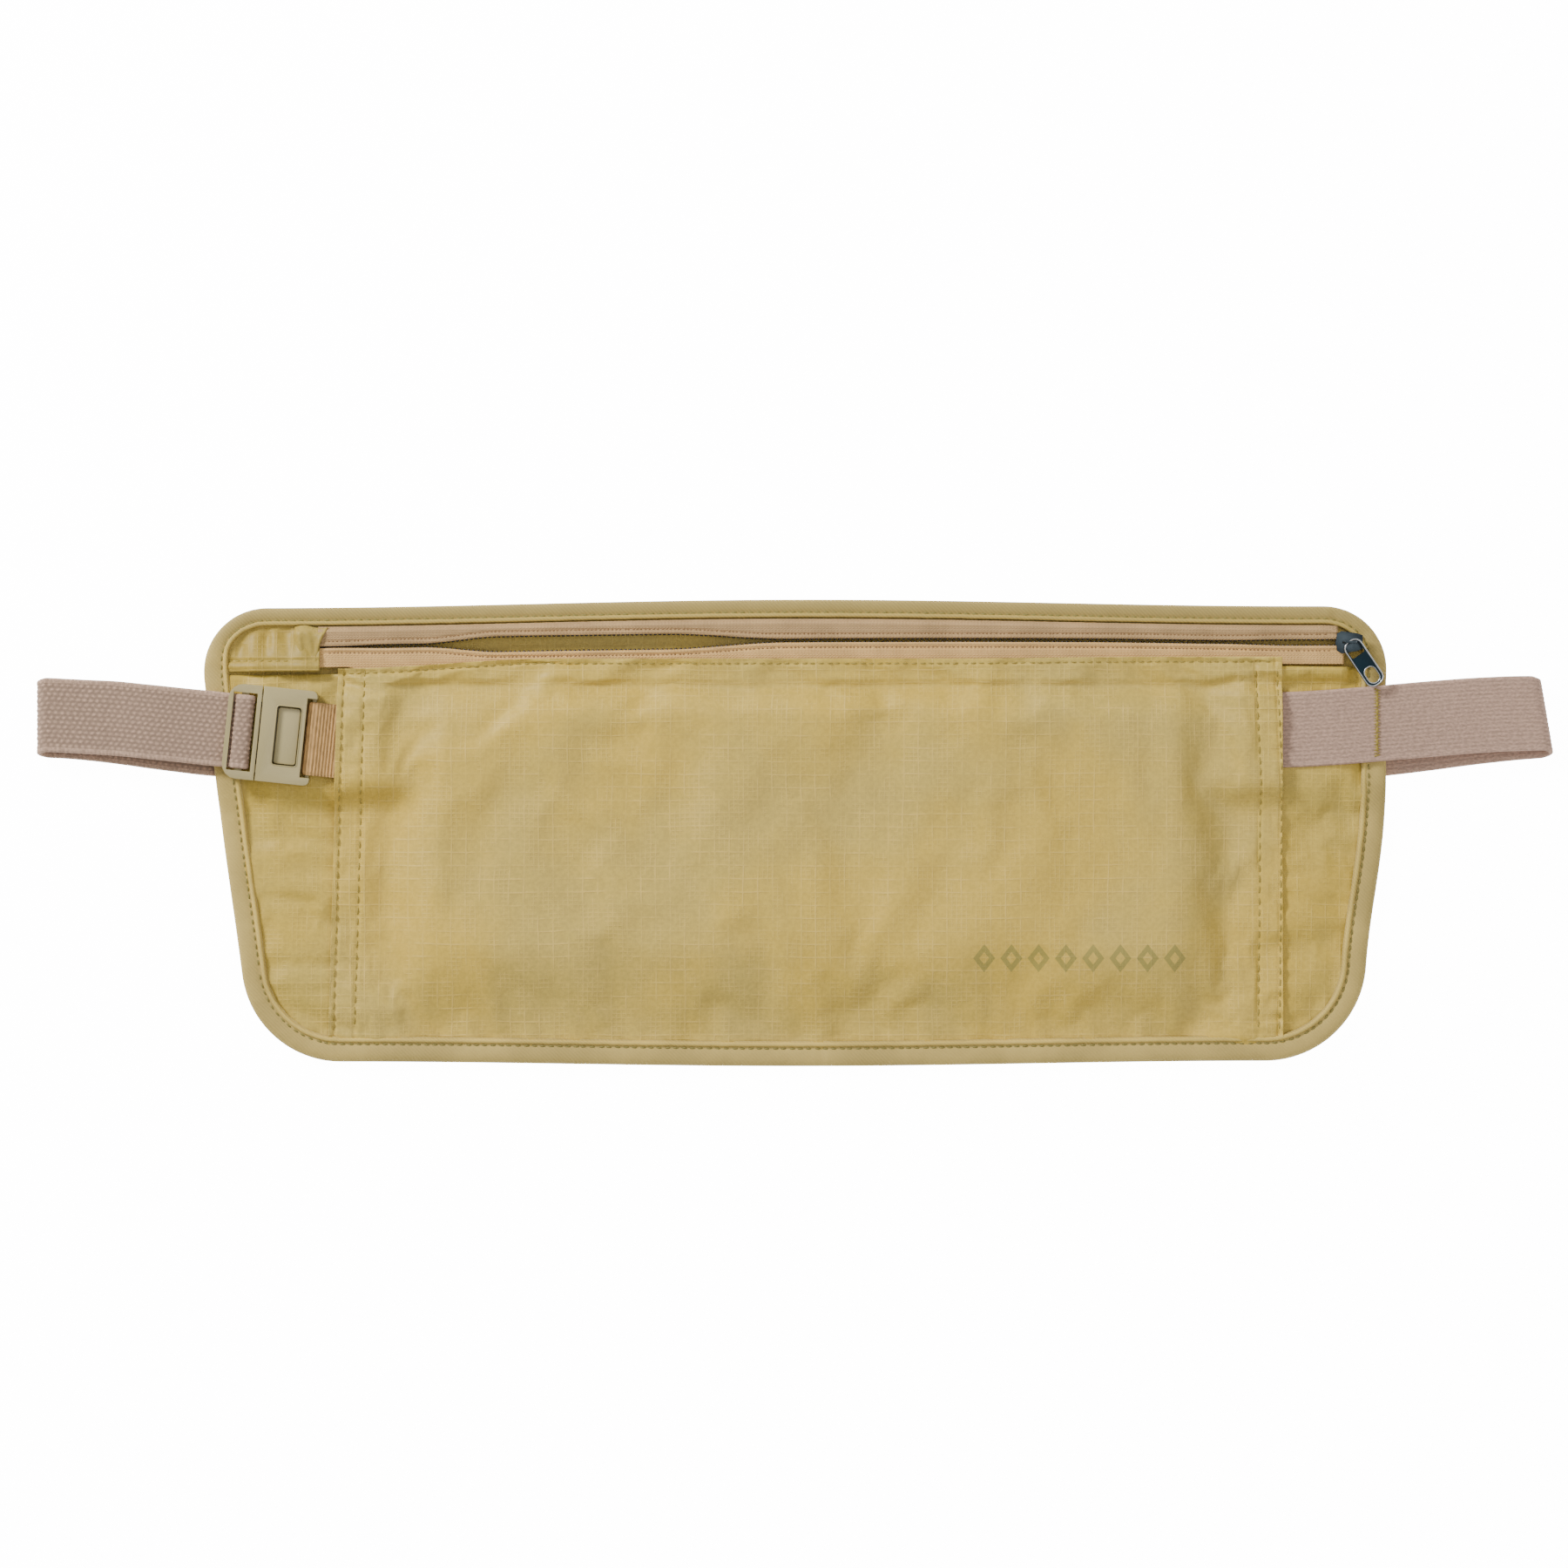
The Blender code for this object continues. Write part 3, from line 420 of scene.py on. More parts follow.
def ripstop(name, color, motif=False):
    look = Look(name, color, 0.5, sheen=0.08)
    look.shader.inputs["Specular IOR Level"].default_value = 0.3
    olive = (color[0] * 0.84, color[1] * 0.92, color[2] * 1.35)
    gold = (color[0] * 1.07, color[1] * 1.03, color[2] * 0.72)
    tone = look.mottle(21.0, 3.0, 0.36, 0.66, olive, gold)
    fine = look.mottle(900.0, 2.0, 0.3, 0.7, shade(color, 0.84), shade(color, 1.1))
    cloth = look.mix(0.5, tone, fine)
    sway = look.times(look.math("SUBTRACT", look.noise(55.0, 1.0), 0.5), 0.0014)
    warp = look.math("ADD", look.x, sway)
    weft = look.math("ADD", look.y, sway)
    threads = look.math("MAXIMUM", look.line(warp, 0.00134, 0.00018), look.line(weft, 0.0012, 0.00018))
    threads = look.times(threads, look.ramp(look.noise(260.0, 2.0, (1.0, 0.4, 1.0)), 0.45, 0.65))
    grid = look.math("MAXIMUM", look.line(warp, 0.00402, 0.00026), look.line(weft, 0.0036, 0.00026))
    grid = look.times(grid, look.ramp(look.noise(110.0, 3.0), 0.42, 0.64, 0.12, 1.0))
    both = look.math("MAXIMUM", grid, look.times(threads, 0.7))
    pale = (color[0] * 1.28, color[1] * 1.3, color[2] * 1.9)
    cloth = look.mix(look.times(both, 0.5), cloth, pale)
    if motif:
        cloth = look.mix(look.times(diamonds(look), 0.7), cloth, (0.22, 0.2, 0.05))
    look.paint(cloth)
    look.bump(both, 0.00016, 0.5)
    look.bump(look.noise(140.0, 3.0), 0.0006, 0.35)
    return look.made


def diamonds(look):
    """Generic printed band: a row of plain hollow diamonds."""
    middle_x, middle_y, half_length, pitch = 0.0785, -0.0345, 0.030, 0.0075
    from_y = look.apart(look.y, middle_y)
    from_x = look.apart(look.x, middle_x)
    from_end = look.math("SUBTRACT", look.x, middle_x - half_length)
    share = look.math("FRACT", look.math("DIVIDE", from_end, pitch))
    beside = look.times(look.apart(share, 0.5), pitch)
    shape = look.math("ADD", look.times(from_y, 0.78), beside)
    figure = look.ramp(shape, 0.0029, 0.0032, 1.0, 0.0)
    hollow = look.ramp(shape, 0.0012, 0.0015, 0.0, 1.0)
    inside = look.ramp(from_x, half_length - 0.0001, half_length, 1.0, 0.0)
    return look.times(look.times(figure, hollow), inside)


def binding_look(name, color):
    look = Look(name, color, 0.7, sheen=0.08)
    tone = look.mottle(60.0, 3.0, 0.3, 0.7, shade(color, 0.84), shade(color, 1.12))
    # Painted shade: the colour darkens towards the pouch's top edge, for the shade that falls there.
    tone = look.mix(look.ramp(look.y, 0.046, 0.060, 0.0, 0.75), tone, shade(color, 0.66))
    twill = look.rib(look.math("ADD", look.x, look.y), 0.0011)
    look.paint(look.mix(look.times(twill, 0.3), tone, shade(color, 1.2)))
    look.bump(twill, 0.00008, 0.5)
    look.bump(look.noise(500.0, 2.0), 0.0002, 0.4)
    return look.made


def tape_look(name, color):
    look = Look(name, color, 0.8, sheen=0.08)
    ribs = look.rib(look.y, 0.00062)
    steps = look.math("MULTIPLY_ADD", look.rib(look.y, 0.0025), 0.0012, look.x)
    weave = look.times(ribs, look.rib(steps, 0.0009))
    tone = look.mottle(120.0, 3.0, 0.3, 0.7, shade(color, 0.88), shade(color, 1.08))
    look.paint(look.mix(look.times(weave, 0.45), tone, shade(color, 1.25)))
    look.bump(weave, 0.0002, 0.7)
    return look.made


def elastic_look(name, color, grain, stretch, depth=0.5):
    look = Look(name, color, 0.88, sheen=0.1)
    weave = look.node("ShaderNodeAttribute", attribute_name="weave").outputs["Fac"]
    picks = look.noise(grain, 2.0, stretch)
    tone = look.mix(look.ramp(picks, 0.36, 0.64), shade(color, 0.74), shade(color, 1.2))
    soft = look.mottle(45.0, 2.0, 0.35, 0.65, shade(color, 0.93), shade(color, 1.07))
    body = look.mix(0.35, tone, soft)
    # Painted shade: the weave attribute darkens the colour in the grooves between loops and ribs, by up to
    # depth.
    weave_painted_shade = look.times(look.math("SUBTRACT", 1.0, weave), depth)
    look.paint(look.mix(weave_painted_shade, body, shade(color, 0.42)))
    look.bump(picks, 0.0003, 0.5)
    return look.made


def plastic_look():
    color = (0.37, 0.305, 0.135)
    look = Look("buckle_plastic", color, 0.38)
    look.paint(look.mottle(60.0, 2.0, 0.3, 0.7, shade(color, 0.96), shade(color, 1.04)))
    look.bump(look.noise(2500.0, 1.0), 0.00003, 0.5)
    return look.made


def metal_look(name, color, roughness, metallic=1.0):
    look = Look(name, color, roughness, metallic=metallic)
    look.paint(look.mottle(300.0, 2.0, 0.3, 0.7, shade(color, 0.85), shade(color, 1.15)))
    look.bump(look.noise(1800.0, 2.0), 0.00004, 0.4)
    return look.made


def thread_look(name, color):
    look = Look(name, color, 0.6, sheen=0.1)
    ply = look.rib(look.math("ADD", look.x, look.times(look.y, 1.3)), 0.0005)
    look.paint(look.mix(look.times(ply, 0.5), shade(color, 0.85), shade(color, 1.3)))
    look.bump(ply, 0.0001, 0.6)
    return look.made


KHAKI = (0.56, 0.39, 0.071)
FRONT = ripstop("ripstop_front", KHAKI, motif=True)
WING = ripstop("ripstop_wing", (0.53, 0.367, 0.058))
CORNER = ripstop("ripstop_corner", (0.385, 0.265, 0.043))
LINING = ripstop("ripstop_back", shade(KHAKI, 0.88))
BINDING = binding_look("binding_tape", (0.45, 0.33, 0.088))
# Painted highlight: the binding's rolled inner fold is a lighter copy of the binding tape, for the light it
# catches.
BINDING_FOLD_HIGHLIGHT = binding_look("binding_fold_highlight", (0.56, 0.405, 0.095))
TAPE = tape_look("zip_tape", (0.62, 0.375, 0.135))
# Painted shade: the upper tape is a darker copy of the same zip tape, for the shade it lies in.
TAPE_UPPER_PAINTED_SHADE = tape_look("zip_tape_shade", (0.40, 0.25, 0.11))
# Painted shade: the coil is given the near-black colour it shows in the shade of the gap between the tapes.
TEETH_PAINTED_SHADE = metal_look("zip_teeth", (0.035, 0.022, 0.016), 0.4, 0.0)
KNIT = elastic_look("elastic_knit", (0.46, 0.305, 0.215), 1300.0, (1.0, 1.0, 0.3), 0.85)
RIBBED = elastic_look("elastic_ribbed", (0.47, 0.305, 0.225), 1500.0, (0.7, 1.3, 1.0), 0.55)
GROSGRAIN = elastic_look("grosgrain", (0.60, 0.35, 0.125), 1100.0, (1.4, 0.4, 1.0), 0.6)
PLASTIC = plastic_look()
GUNMETAL = metal_look("gunmetal", (0.04, 0.052, 0.06), 0.34)
# Painted reflection: the puller plate is near-black matte paint that stands for the dark reflection on its
# metal.
PULLER_PAINTED_REFLECTION = metal_look("puller_plate_painted_reflection", (0.002, 0.014, 0.022), 0.5, 0.0)
PULLER_PAINTED_REFLECTION.node_tree.nodes["Principled BSDF"].inputs["Specular IOR Level"].default_value = 0.12
SILVER = metal_look("bright_rim", (0.42, 0.43, 0.43), 0.22)
THREAD = thread_look("seam_thread", (0.37, 0.27, 0.048))
OLIVE = thread_look("binding_thread", (0.25, 0.205, 0.05))
PEACH = thread_look("tape_thread", (0.30, 0.165, 0.065))


# ---------------------------------------------------------------- cloth panels

def creases(x, y, depth):
    """Hollows the cloth starts from: puckers square to the bound edge, and soft waves elsewhere."""
    near = math.exp(-max(depth - 6.0, 0.0) / 9.0)
    pucker = 0.62 * near * noise.noise(Vector((x / 4.2 + y * 0.02, y / 30.0, 3.0)))
    fold = 1.0 - abs(rough(x, y, 26.0, 5.0, 2)) * 2.2
    soft = 0.42 * max(fold, -0.2) + 0.5 * rough(x, y, 38.0, 9.0, 2) + 0.16 * rough(x, y, 9.0, 8.0, 3)
    return pucker + soft * min(1.0, max(0.0, (depth - 6.0) / 14.0))


CLOTH = {"quality": 6, "mass": 0.12, "air_damping": 4.0, "tension_stiffness": 22.0,
         "compression_stiffness": 22.0, "shear_stiffness": 8.0, "bending_stiffness": 0.35}


def settle(name, xs, ys, zs, spare, frames=26):
    """Cloth run: the panel, sewn down at its rim, is given a little spare cloth and buckles into folds."""
    rows, columns = xs.shape
    size = 10.0
    verts = np.stack([xs, ys, zs], axis=2).reshape(-1, 3) * MM * size
    faces = []
    for j in range(rows - 1):
        for i in range(columns - 1):
            a = j * columns + i
            faces.append((a, a + 1, a + columns + 1, a + columns))
    mesh = bpy.data.meshes.new(name)
    mesh.from_pydata([tuple(v) for v in verts], [], faces)
    thing = bpy.data.objects.new(name, mesh)
    bpy.context.scene.collection.objects.link(thing)
    group = thing.vertex_groups.new(name="sewn")
    rim = [j * columns + i for j in range(rows) for i in range(columns)
           if j in (0, rows - 1) or i in (0, columns - 1)]
    group.add(rim, 1.0, "REPLACE")
    step = thing.modifiers.new("cloth", "CLOTH")
    cloth = step.settings
    cloth.vertex_group_mass = "sewn"
    for name_of, value in CLOTH.items():
        setattr(cloth, name_of, value)
    cloth.shrink_min = -spare
    cloth.effector_weights.gravity = 0.0
    step.collision_settings.use_collision = False
    step.collision_settings.use_self_collision = False
    step.point_cache.frame_start = 1
    step.point_cache.frame_end = frames
    scene = bpy.context.scene
    for number in range(1, frames + 1):
        scene.frame_set(number)
    settled = thing.evaluated_get(bpy.context.evaluated_depsgraph_get()).to_mesh()
    points = np.empty(len(settled.vertices) * 3)
    settled.vertices.foreach_get("co", points)
    points = points.reshape(rows, columns, 3) / (MM * size)
    scene.frame_set(1)
    bpy.data.objects.remove(thing)
    bpy.data.meshes.remove(mesh)
    return points[:, :, 0], points[:, :, 1], points[:, :, 2]


def panel_arrays(first, second, columns, floor, extra, crowd=0.0, spare=0.0, name="panel"):
    xs, ys = ruled(first, second, columns, crowd)
    zs = floor(xs, ys) + 0.4
    depths = depth_inside(xs, ys)
    for j in range(xs.shape[0]):
        for i in range(xs.shape[1]):
            zs[j, i] += extra(float(xs[j, i]), float(ys[j, i]), float(depths[j, i]))
    if spare:
        smooth = zs
        xs, ys, zs = settle(name, xs, ys, zs, spare)
        zs = np.clip(zs, smooth - 0.9, smooth + 0.9)
    return xs, ys, zs


def cloth_piece(name, node, look, xs, ys, zs, thickness=CLOTH_T):
    return place(sheet_mesh(name, xs, ys, zs, thickness), look, "ripstop", "belt", node)


def front_panel():
    count = 215
    a = reach_near(LEFT_EDGE[2][0], -64.0)
    span = (reach_near(RIGHT_EDGE[2][0], -64.0) - a) % LENGTH
    t = fine_ends(count, 0.86)
    x, y = outline_points(a + span * t, RIM_INSET)
    bottom = np.stack([x, y], axis=1)
    tops = lerp(LEFT_EDGE[0][0], RIGHT_EDGE[0][0], t)
    top = np.stack([tops, panel_top(tops)], axis=1)

    def extra(x, y, depth):
        side = min(abs(x - through(LEFT_EDGE, y)), abs(x - through(RIGHT_EDGE, y)))
        upper = float(panel_top(x)) - y
        crinkle = noise.noise(Vector((x / 14.0, y / 2.3, 1.0)))
        crinkle += 0.5 * noise.noise(Vector((x / 6.0, y / 1.2, 8.0)))
        pull = 0.72 * math.exp(-(max(side - 4.5, 0.0) / 4.5) ** 2) * crinkle
        dents = math.exp(-((side - 1.9) / 0.45) ** 2) + 1.15 * math.exp(-((side - 7.4) / 0.6) ** 2)
        roll = 0.42 * math.exp(-(side / 1.1) ** 2) + 0.42 * math.exp(-(upper / 0.85) ** 2)
        hem = 0.3 * math.exp(-((upper - 1.45) / 0.35) ** 2)
        hem_pucker = 0.3 * math.exp(-upper / 3.5) * noise.noise(Vector((x / 2.2, y / 9.0, 4.0)))
        return creases(x, y, depth) * min(1.0, upper / 8.0) + pull + roll + hem_pucker - 0.3 * dents - hem

    xs, ys, zs = panel_arrays(bottom, top, 92, panel_floor, extra, 0.8, SPARE, "front_cloth")
    under_puller = PULLER_CLEAR + 3.0 * ease((PULLER_TIP_Y - ys) / 5.0)
    zs = np.minimum(zs, under_puller)
    return cloth_piece("pouch_front", "front_panel", FRONT, xs, ys, zs)


def lap_run(edge, top, bottom, count, side):
    ys = np.linspace(top, bottom, count)
    xs = through(edge, ys) + side * lerp(8.0, 2.0, ease((-46.0 - ys) / 9.0))
    return np.stack([xs, ys], axis=1)


def wing_creases(x, y, depth):
    drag = 0.5 * noise.noise(Vector((x / 22.0 + y / 30.0, y / 5.5, 2.0)))
    return creases(x, y, depth) + min(1.0, max(0.0, (depth - 6.5) / 6.0)) * drag


def wing(side, outer, edge, top, inward):
    """One side of the front, from the bound edge to under the front panel's seam."""
    inner = lap_run(edge, top, -60.0, 96, inward)
    xs, ys, zs = panel_arrays(outer, inner, 40, front_floor, wing_creases, 0.0, SPARE, f"{side}_cloth")
    zs = np.minimum(zs, front_floor(xs, ys) + 1.0)
    cloth_piece(f"pouch_{side}_wing", f"{side}_wing", WING, xs, ys, zs)


def corner_panel():
    """Piece over the zip's closed end, gathered towards its lower seam."""
    count = 120
    outer = outline_run((-132.0, 62.0), (-163.6, 44.2), count, RIM_INSET)
    t = np.linspace(0.0, 1.0, count)
    inner_x = lerp(-131.0, -153.0, np.maximum(0.0, (t - 0.45) / 0.55))
    inner_y = lerp(57.5, 44.6, np.minimum(1.0, t / 0.45))
    inner = np.stack([inner_x, inner_y], axis=1)

    def floor(x, y):
        near_zip = ease((x + 146.0) / 12.0) * ease((depth_inside(x, y) - 6.2) / 3.5)
        return 1.75 + lift(x, y) + 2.6 * ease((depth_inside(x, y) - 6.0) / 9.0) + 1.55 * near_zip

    def extra(x, y, depth):
        lean = x + 0.12 * y + 1.6 * noise.noise(Vector((x / 9.0, y / 9.0, 1.0)))
        gather = 0.55 * math.sin(lean * 2 * math.pi / 6.6)
        gather += 0.5 * noise.noise(Vector((x / 2.4, y / 14.0, 4.0)))
        hem = 0.5 * math.exp(-((y - 46.0) / 1.0) ** 2) - 0.35 * math.exp(-((y - 47.6) / 0.4) ** 2)
        return gather * min(1.0, max(0.0, (depth - 5.0) / 3.0)) * min(1.0, max(0.15, (y - 46.5) / 5.0)) + hem

    xs, ys, zs = panel_arrays(outer, inner, 48, floor, extra)
    return cloth_piece("pouch_corner", "corner_panel", CORNER, xs, ys, zs)


def end_tab():
    """Folded tab over the zip's closed end, with pleats running down to its seam."""
    rows, columns = 26, 18
    v = np.linspace(0.0, 1.0, rows)[:, None]
    u = np.linspace(0.0, 1.0, columns)[None, :]
    left = lerp(-138.5, -138.0, v)
    right = lerp(-131.3, -128.7, v ** 1.4) - 0.9 * np.sin(math.pi * v)
    xs = left + (right - left) * u
    ys = lerp(44.8, 56.9, v) + 0.4 * np.sin(u * 6.0) + 0.0 * u
    roll = 0.45 * np.exp(-((u - 0.93) / 0.07) ** 2)
    pleat = 0.28 * np.sin((xs + ys * 0.22) * 2.3) * np.sin(math.pi * v)
    zs = 5.75 + roll + pleat - 0.75 * ease((0.25 - u) / 0.25) - 1.6 * ease((v - 0.82) / 0.18)
    cloth_piece("zip_end_fold", "zip_end_tab", CORNER, xs, ys, zs, 0.3)


def back_panel():
    """Back of the pouch, lying over the strap's run, with the slack of cloth that carries nothing."""
    rows, columns = 60, 130
    mids = [reach_near(*corner) for corner in CORNERS]

    def side(first, second, count):
        span = (mids[second] - mids[first]) % LENGTH
        x, y = outline_points(mids[first] + span * np.linspace(0, 1, count), RIM_INSET)
        return np.stack([x, y], axis=1)

    bottom = side(0, 1, columns)
    right = side(1, 2, rows)
    top = side(2, 3, columns)[::-1]
    left = side(3, 0, rows)[::-1]
    u = np.linspace(0, 1, columns)[None, :, None]
    v = np.linspace(0, 1, rows)[:, None, None]
    sides = left[:, None, :] * (1 - u) + right[:, None, :] * u + bottom[None] * (1 - v) + top[None] * v
    ends = (bottom[0] * (1 - u) + bottom[-1] * u) * (1 - v) + (top[0] * (1 - u) + top[-1] * u) * v
    grid = sides - ends
    xs = grid[:, :, 0]
    ys = grid[:, :, 1]
    zs = 1.15 + lift(xs, ys)
    depths = depth_inside(xs, ys)
    for j in range(rows):
        for i in range(columns):
            slack = min(1.0, max(0.0, (depths[j, i] - 8.0) / 12.0))
            zs[j, i] += slack * 0.14 * rough(xs[j, i], ys[j, i], 14.0, 11.0, 3)
    cloth_piece("pouch_back", "back_panel", LINING, xs, ys, zs)


def binding_width(y):
    return lerp(7.0, 5.0, ease((y - 44.0) / 14.0))


def edge_binding():
    """Folded binding: flat band, stitched groove and raised inner fold, swept round the outline."""
    count = 760
    reach = np.linspace(0.0, LENGTH, count, endpoint=False)
    ox, oy = outline_points(reach)
    width = binding_width(oy)
    px, py = outline_points(reach, 3.0)
    base = lift(px, py)
    under = base / 1.6
    front = [(1.0, 2.34), (0.985, 2.5), (0.9, 2.6), (0.81, 2.62), (0.735, 2.6), (0.69, 2.6), (0.63, 2.78)]
    edge = [(0.48, 2.98), (0.30, 3.0), (0.14, 2.82), (0.04, 2.4), (0.0, 1.7), (0.01, 0.9), (0.07, 0.2)]
    back = [(0.2, 0.02), (0.5, 0.0), (0.8, 0.0), (0.99, 0.03), (1.0, 0.4), (0.8, 0.44), (0.3, 0.42)]
    inside = [(0.16, 0.6), (0.12, 1.3), (0.16, 2.1), (0.3, 2.32), (0.7, 2.2)]
    profile = front + edge + back + inside
    verts = []
    for k in range(count):
        bend = noise.noise(Vector((reach[k] / 5.0, 2.0, 0.0)))
        fine = noise.noise(Vector((reach[k] / 1.9, 7.0, 0.0)))
        corner = ease((oy[k] - 40.0) / 12.0) * ease((abs(ox[k]) - 135.0) / 12.0)
        seam = math.exp(-((ox[k] - 7.2) / 0.5) ** 2) if oy[k] < 0 else 0.0
        for share, z in profile:
            upper = 1.0 if z > 1.5 else 0.0
            inset = share * width[k] + (0.14 * bend if share > 0.8 else 0.0)
            wave = upper * (0.10 + 0.22 * corner) * (bend + 0.6 * fine) * (1.0 if share > 0.1 else 0.3)
            ridge = 0.45 * under[k] if share > 0.75 and z > 2.7 else 0.0
            top_flat = 0.22 * under[k] if z > 2.7 else 0.0
            height = z + wave * (1.0 - 0.8 * under[k]) - max(ridge, top_flat) - upper * 0.3 * seam
            x, y = outline_points(reach[k], inset)
            verts.append((float(x), float(y), max(0.0, height) + base[k]))
    faces = []
    skin(faces, count, len(profile), closed=True)
    band = mesh_object("pouch_binding", verts, [(a, d, c, b) for a, b, c, d in faces])
    place(band, BINDING, "binding", "belt", "edge_binding")
    fold = []
    for k in range(count):
        sway = 0.10 * noise.noise(Vector((reach[k] / 3.0, 12.0, 0.0)))
        x, y = outline_points(reach[k], 0.86 * width[k] + sway)
        bob = 0.12 * noise.noise(Vector((reach[k] / 2.2, 15.0, 0.0)))
        fold.append((float(x), float(y), float(base[k]) + 2.78 - 0.5 * float(under[k]) + bob))
    # The fold tube wears the lighter tape colour: a painted highlight.
    tube("pouch_binding_fold", fold, 0.66, True, BINDING_FOLD_HIGHLIGHT, "binding", "belt", 0.8)
    return band


# ---------------------------------------------------------------- zip

def tape(name, node, sign, end, look):
    columns = 420
    xs = np.linspace(ZIP_LEFT[0] - 1.0, end, columns)
    near = np.stack([xs, zip_y(xs) + sign * half_gap(xs)], axis=1)
    if sign > 0:
        outer = np.array([outline_points(reach_near(x, 63.0), 5.3)[1] for x in xs])
        outer = np.maximum(outer, near[:, 1] + 1.2)
    else:
        outer = panel_top(xs) - 1.8
        ends = np.maximum(ease((-112.0 - xs) / 12.0), ease((xs - 112.0) / 12.0))
        outer = lerp(outer, np.where(xs < 0, 45.7, 46.6), ends)
    far = np.stack([xs, outer], axis=1)
    gx, gy = ruled(near, far, 30)
    gz = np.full(gx.shape, 5.15)
    for j in range(gx.shape[0]):
        for i in range(gx.shape[1]):
            ripple = 0.16 * noise.noise(Vector((gx[j, i] / 4.2, 3.0 + sign, gy[j, i] / 20.0)))
            ripple += 0.22 * noise.noise(Vector((gx[j, i] / 23.0, 8.0 + sign, gy[j, i] / 20.0)))
            out = abs(gy[j, i] - near[j, 1])
            groove = 0.22 * math.exp(-((out - 1.35) / 0.3) ** 2)
            gz[j, i] += ripple - groove + 0.2 * math.exp(-((out - 0.5) / 0.4) ** 2)
    if sign > 0:
        edge = depth_inside(gx, gy) - 5.0
        gz -= 1.7 * (1.0 - ease((edge - 0.2) / 1.6))
    return place(sheet_mesh(name, gx, gy, gz, 0.3), look, "zip_tape", "belt", node)


def teeth(name, node, sign, end):
    """Row of coil teeth: one rounded loop after another along the tape's edge, joined by its core."""
    pitch = 1.27
    xs = np.arange(ZIP_LEFT[0], end, pitch) + (0.5 * pitch if sign > 0 else 0.0)
    verts = []
    faces = []
    for x in xs:
        y = float(zip_y(x))
        inner = float(half_gap(x)) - 0.38
        stations = ((0.0, 0.22), (0.1, 0.4), (0.5, 0.42), (1.2, 0.34), (1.75, 0.3), (1.85, 0.12))
        for out, radius in stations:
            for k in range(8):
                a = 2 * math.pi * k / 8
                z = 4.15 + 0.95 * radius * math.sin(a)
                verts.append((float(x) + radius * math.cos(a), y + sign * (inner + out), z))
        skin(faces, len(stations), 8, len(verts) - 8 * len(stations))
    count = 300
    core = np.linspace(ZIP_LEFT[0], end, count)
    start = len(verts)
    for x in core:
        y = float(zip_y(x)) + sign * (float(half_gap(x)) + 0.75)
        for k in range(6):
            a = 2 * math.pi * k / 6
            verts.append((float(x), y + 0.24 * math.cos(a), 4.12 + 0.24 * math.sin(a)))
    skin(faces, count, 6, start)
    place(mesh_object(name, verts, faces), TEETH_PAINTED_SHADE, "zip_coil", "belt", node)


# ---------------------------------------------------------------- stitches

def stitches(name, points, length, pitch, radius, look, *nodes):
    """Row of single stitches, sunk at both ends, along a dense line of (x, y, z) points."""
    line = np.array(points, dtype=float)
    run = np.concatenate([[0.0], np.cumsum(np.linalg.norm(np.diff(line, axis=0), axis=1))])
    verts = []
    faces = []
    shape = ((0.0, 0.35, -0.2), (0.14, 0.8, 0.0), (0.5, 1.0, 0.1), (0.86, 0.8, 0.0), (1.0, 0.35, -0.2))
    starts = np.arange(0.3, run[-1] - length, pitch)
    for start in starts:
        start += 0.12 * RNG.standard_normal()
        tilt = 0.05 * RNG.standard_normal()
        base = len(verts)
        for t, fat, rise in shape:
            here = np.array([np.interp(start + t * length, run, line[:, c]) for c in range(3)])
            ahead = np.array([np.interp(start + t * length + 0.3, run, line[:, c]) for c in range(3)]) - here
            size = max(math.hypot(ahead[0], ahead[1]), 1e-6)
            sx, sy = ahead[1] / size, -ahead[0] / size
            here = here + np.array([sx, sy, 0.0]) * tilt * (t - 0.5) * 2
            for k in range(8):
                a = 2 * math.pi * k / 8
                side = 1.25 * radius * fat * math.cos(a)
                z = here[2] + rise + radius * fat * math.sin(a)
                verts.append((here[0] + sx * side, here[1] + sy * side, z))
        skin(faces, len(shape), 8, base)
    place(mesh_object(name, verts, faces), look, "thread", "belt", *nodes)


def surface_of(thing):
    """Function giving the top height in millimetres of a mesh lying in world axes."""
    matrix = thing.matrix_world.copy()
    points = [matrix @ v.co for v in thing.data.vertices]
    tree = BVHTree.FromPolygons(points, [tuple(p.vertices) for p in thing.data.polygons])

    def height(x, y, fallback=6.0):
        hit = tree.ray_cast(Vector((x * MM, y * MM, 0.05)), Vector((0, 0, -1)))[0]
        return fallback if hit is None else hit.z / MM

    return height


def line_on(top_of, points, rise):
    """The points as (x, y, z), a little above the surface below them."""
    line = [(float(x), float(y)) for x, y in points]
    return [(x, y, top_of(x, y) + rise) for x, y in line]


def seam_stitches(front):
    top_of = surface_of(front)
    seams = {"left_outer": (LEFT_EDGE, 1.5), "left_inner": (LEFT_EDGE, 7.4),
             "right_outer": (RIGHT_EDGE, -1.5), "right_inner": (RIGHT_EDGE, -7.4)}
    for label, (edge, shift) in seams.items():
        line = line_on(top_of, [(through(edge, y) + shift, y) for y in np.linspace(45.2, -56.0, 260)], 0.06)
        side, row = label.split("_")
        stitches(f"seam_stitches_{label}", line, 2.3, 3.1, 0.2, THREAD, f"{side}_seam_{row}_thread")
    line = line_on(top_of, [(x, panel_top(x) - 1.3) for x in np.linspace(-123.5, 131.5, 500)], 0.06)
    stitches("seam_stitches_zip", line, 1.7, 2.35, 0.17, THREAD, "zip_seam_thread")


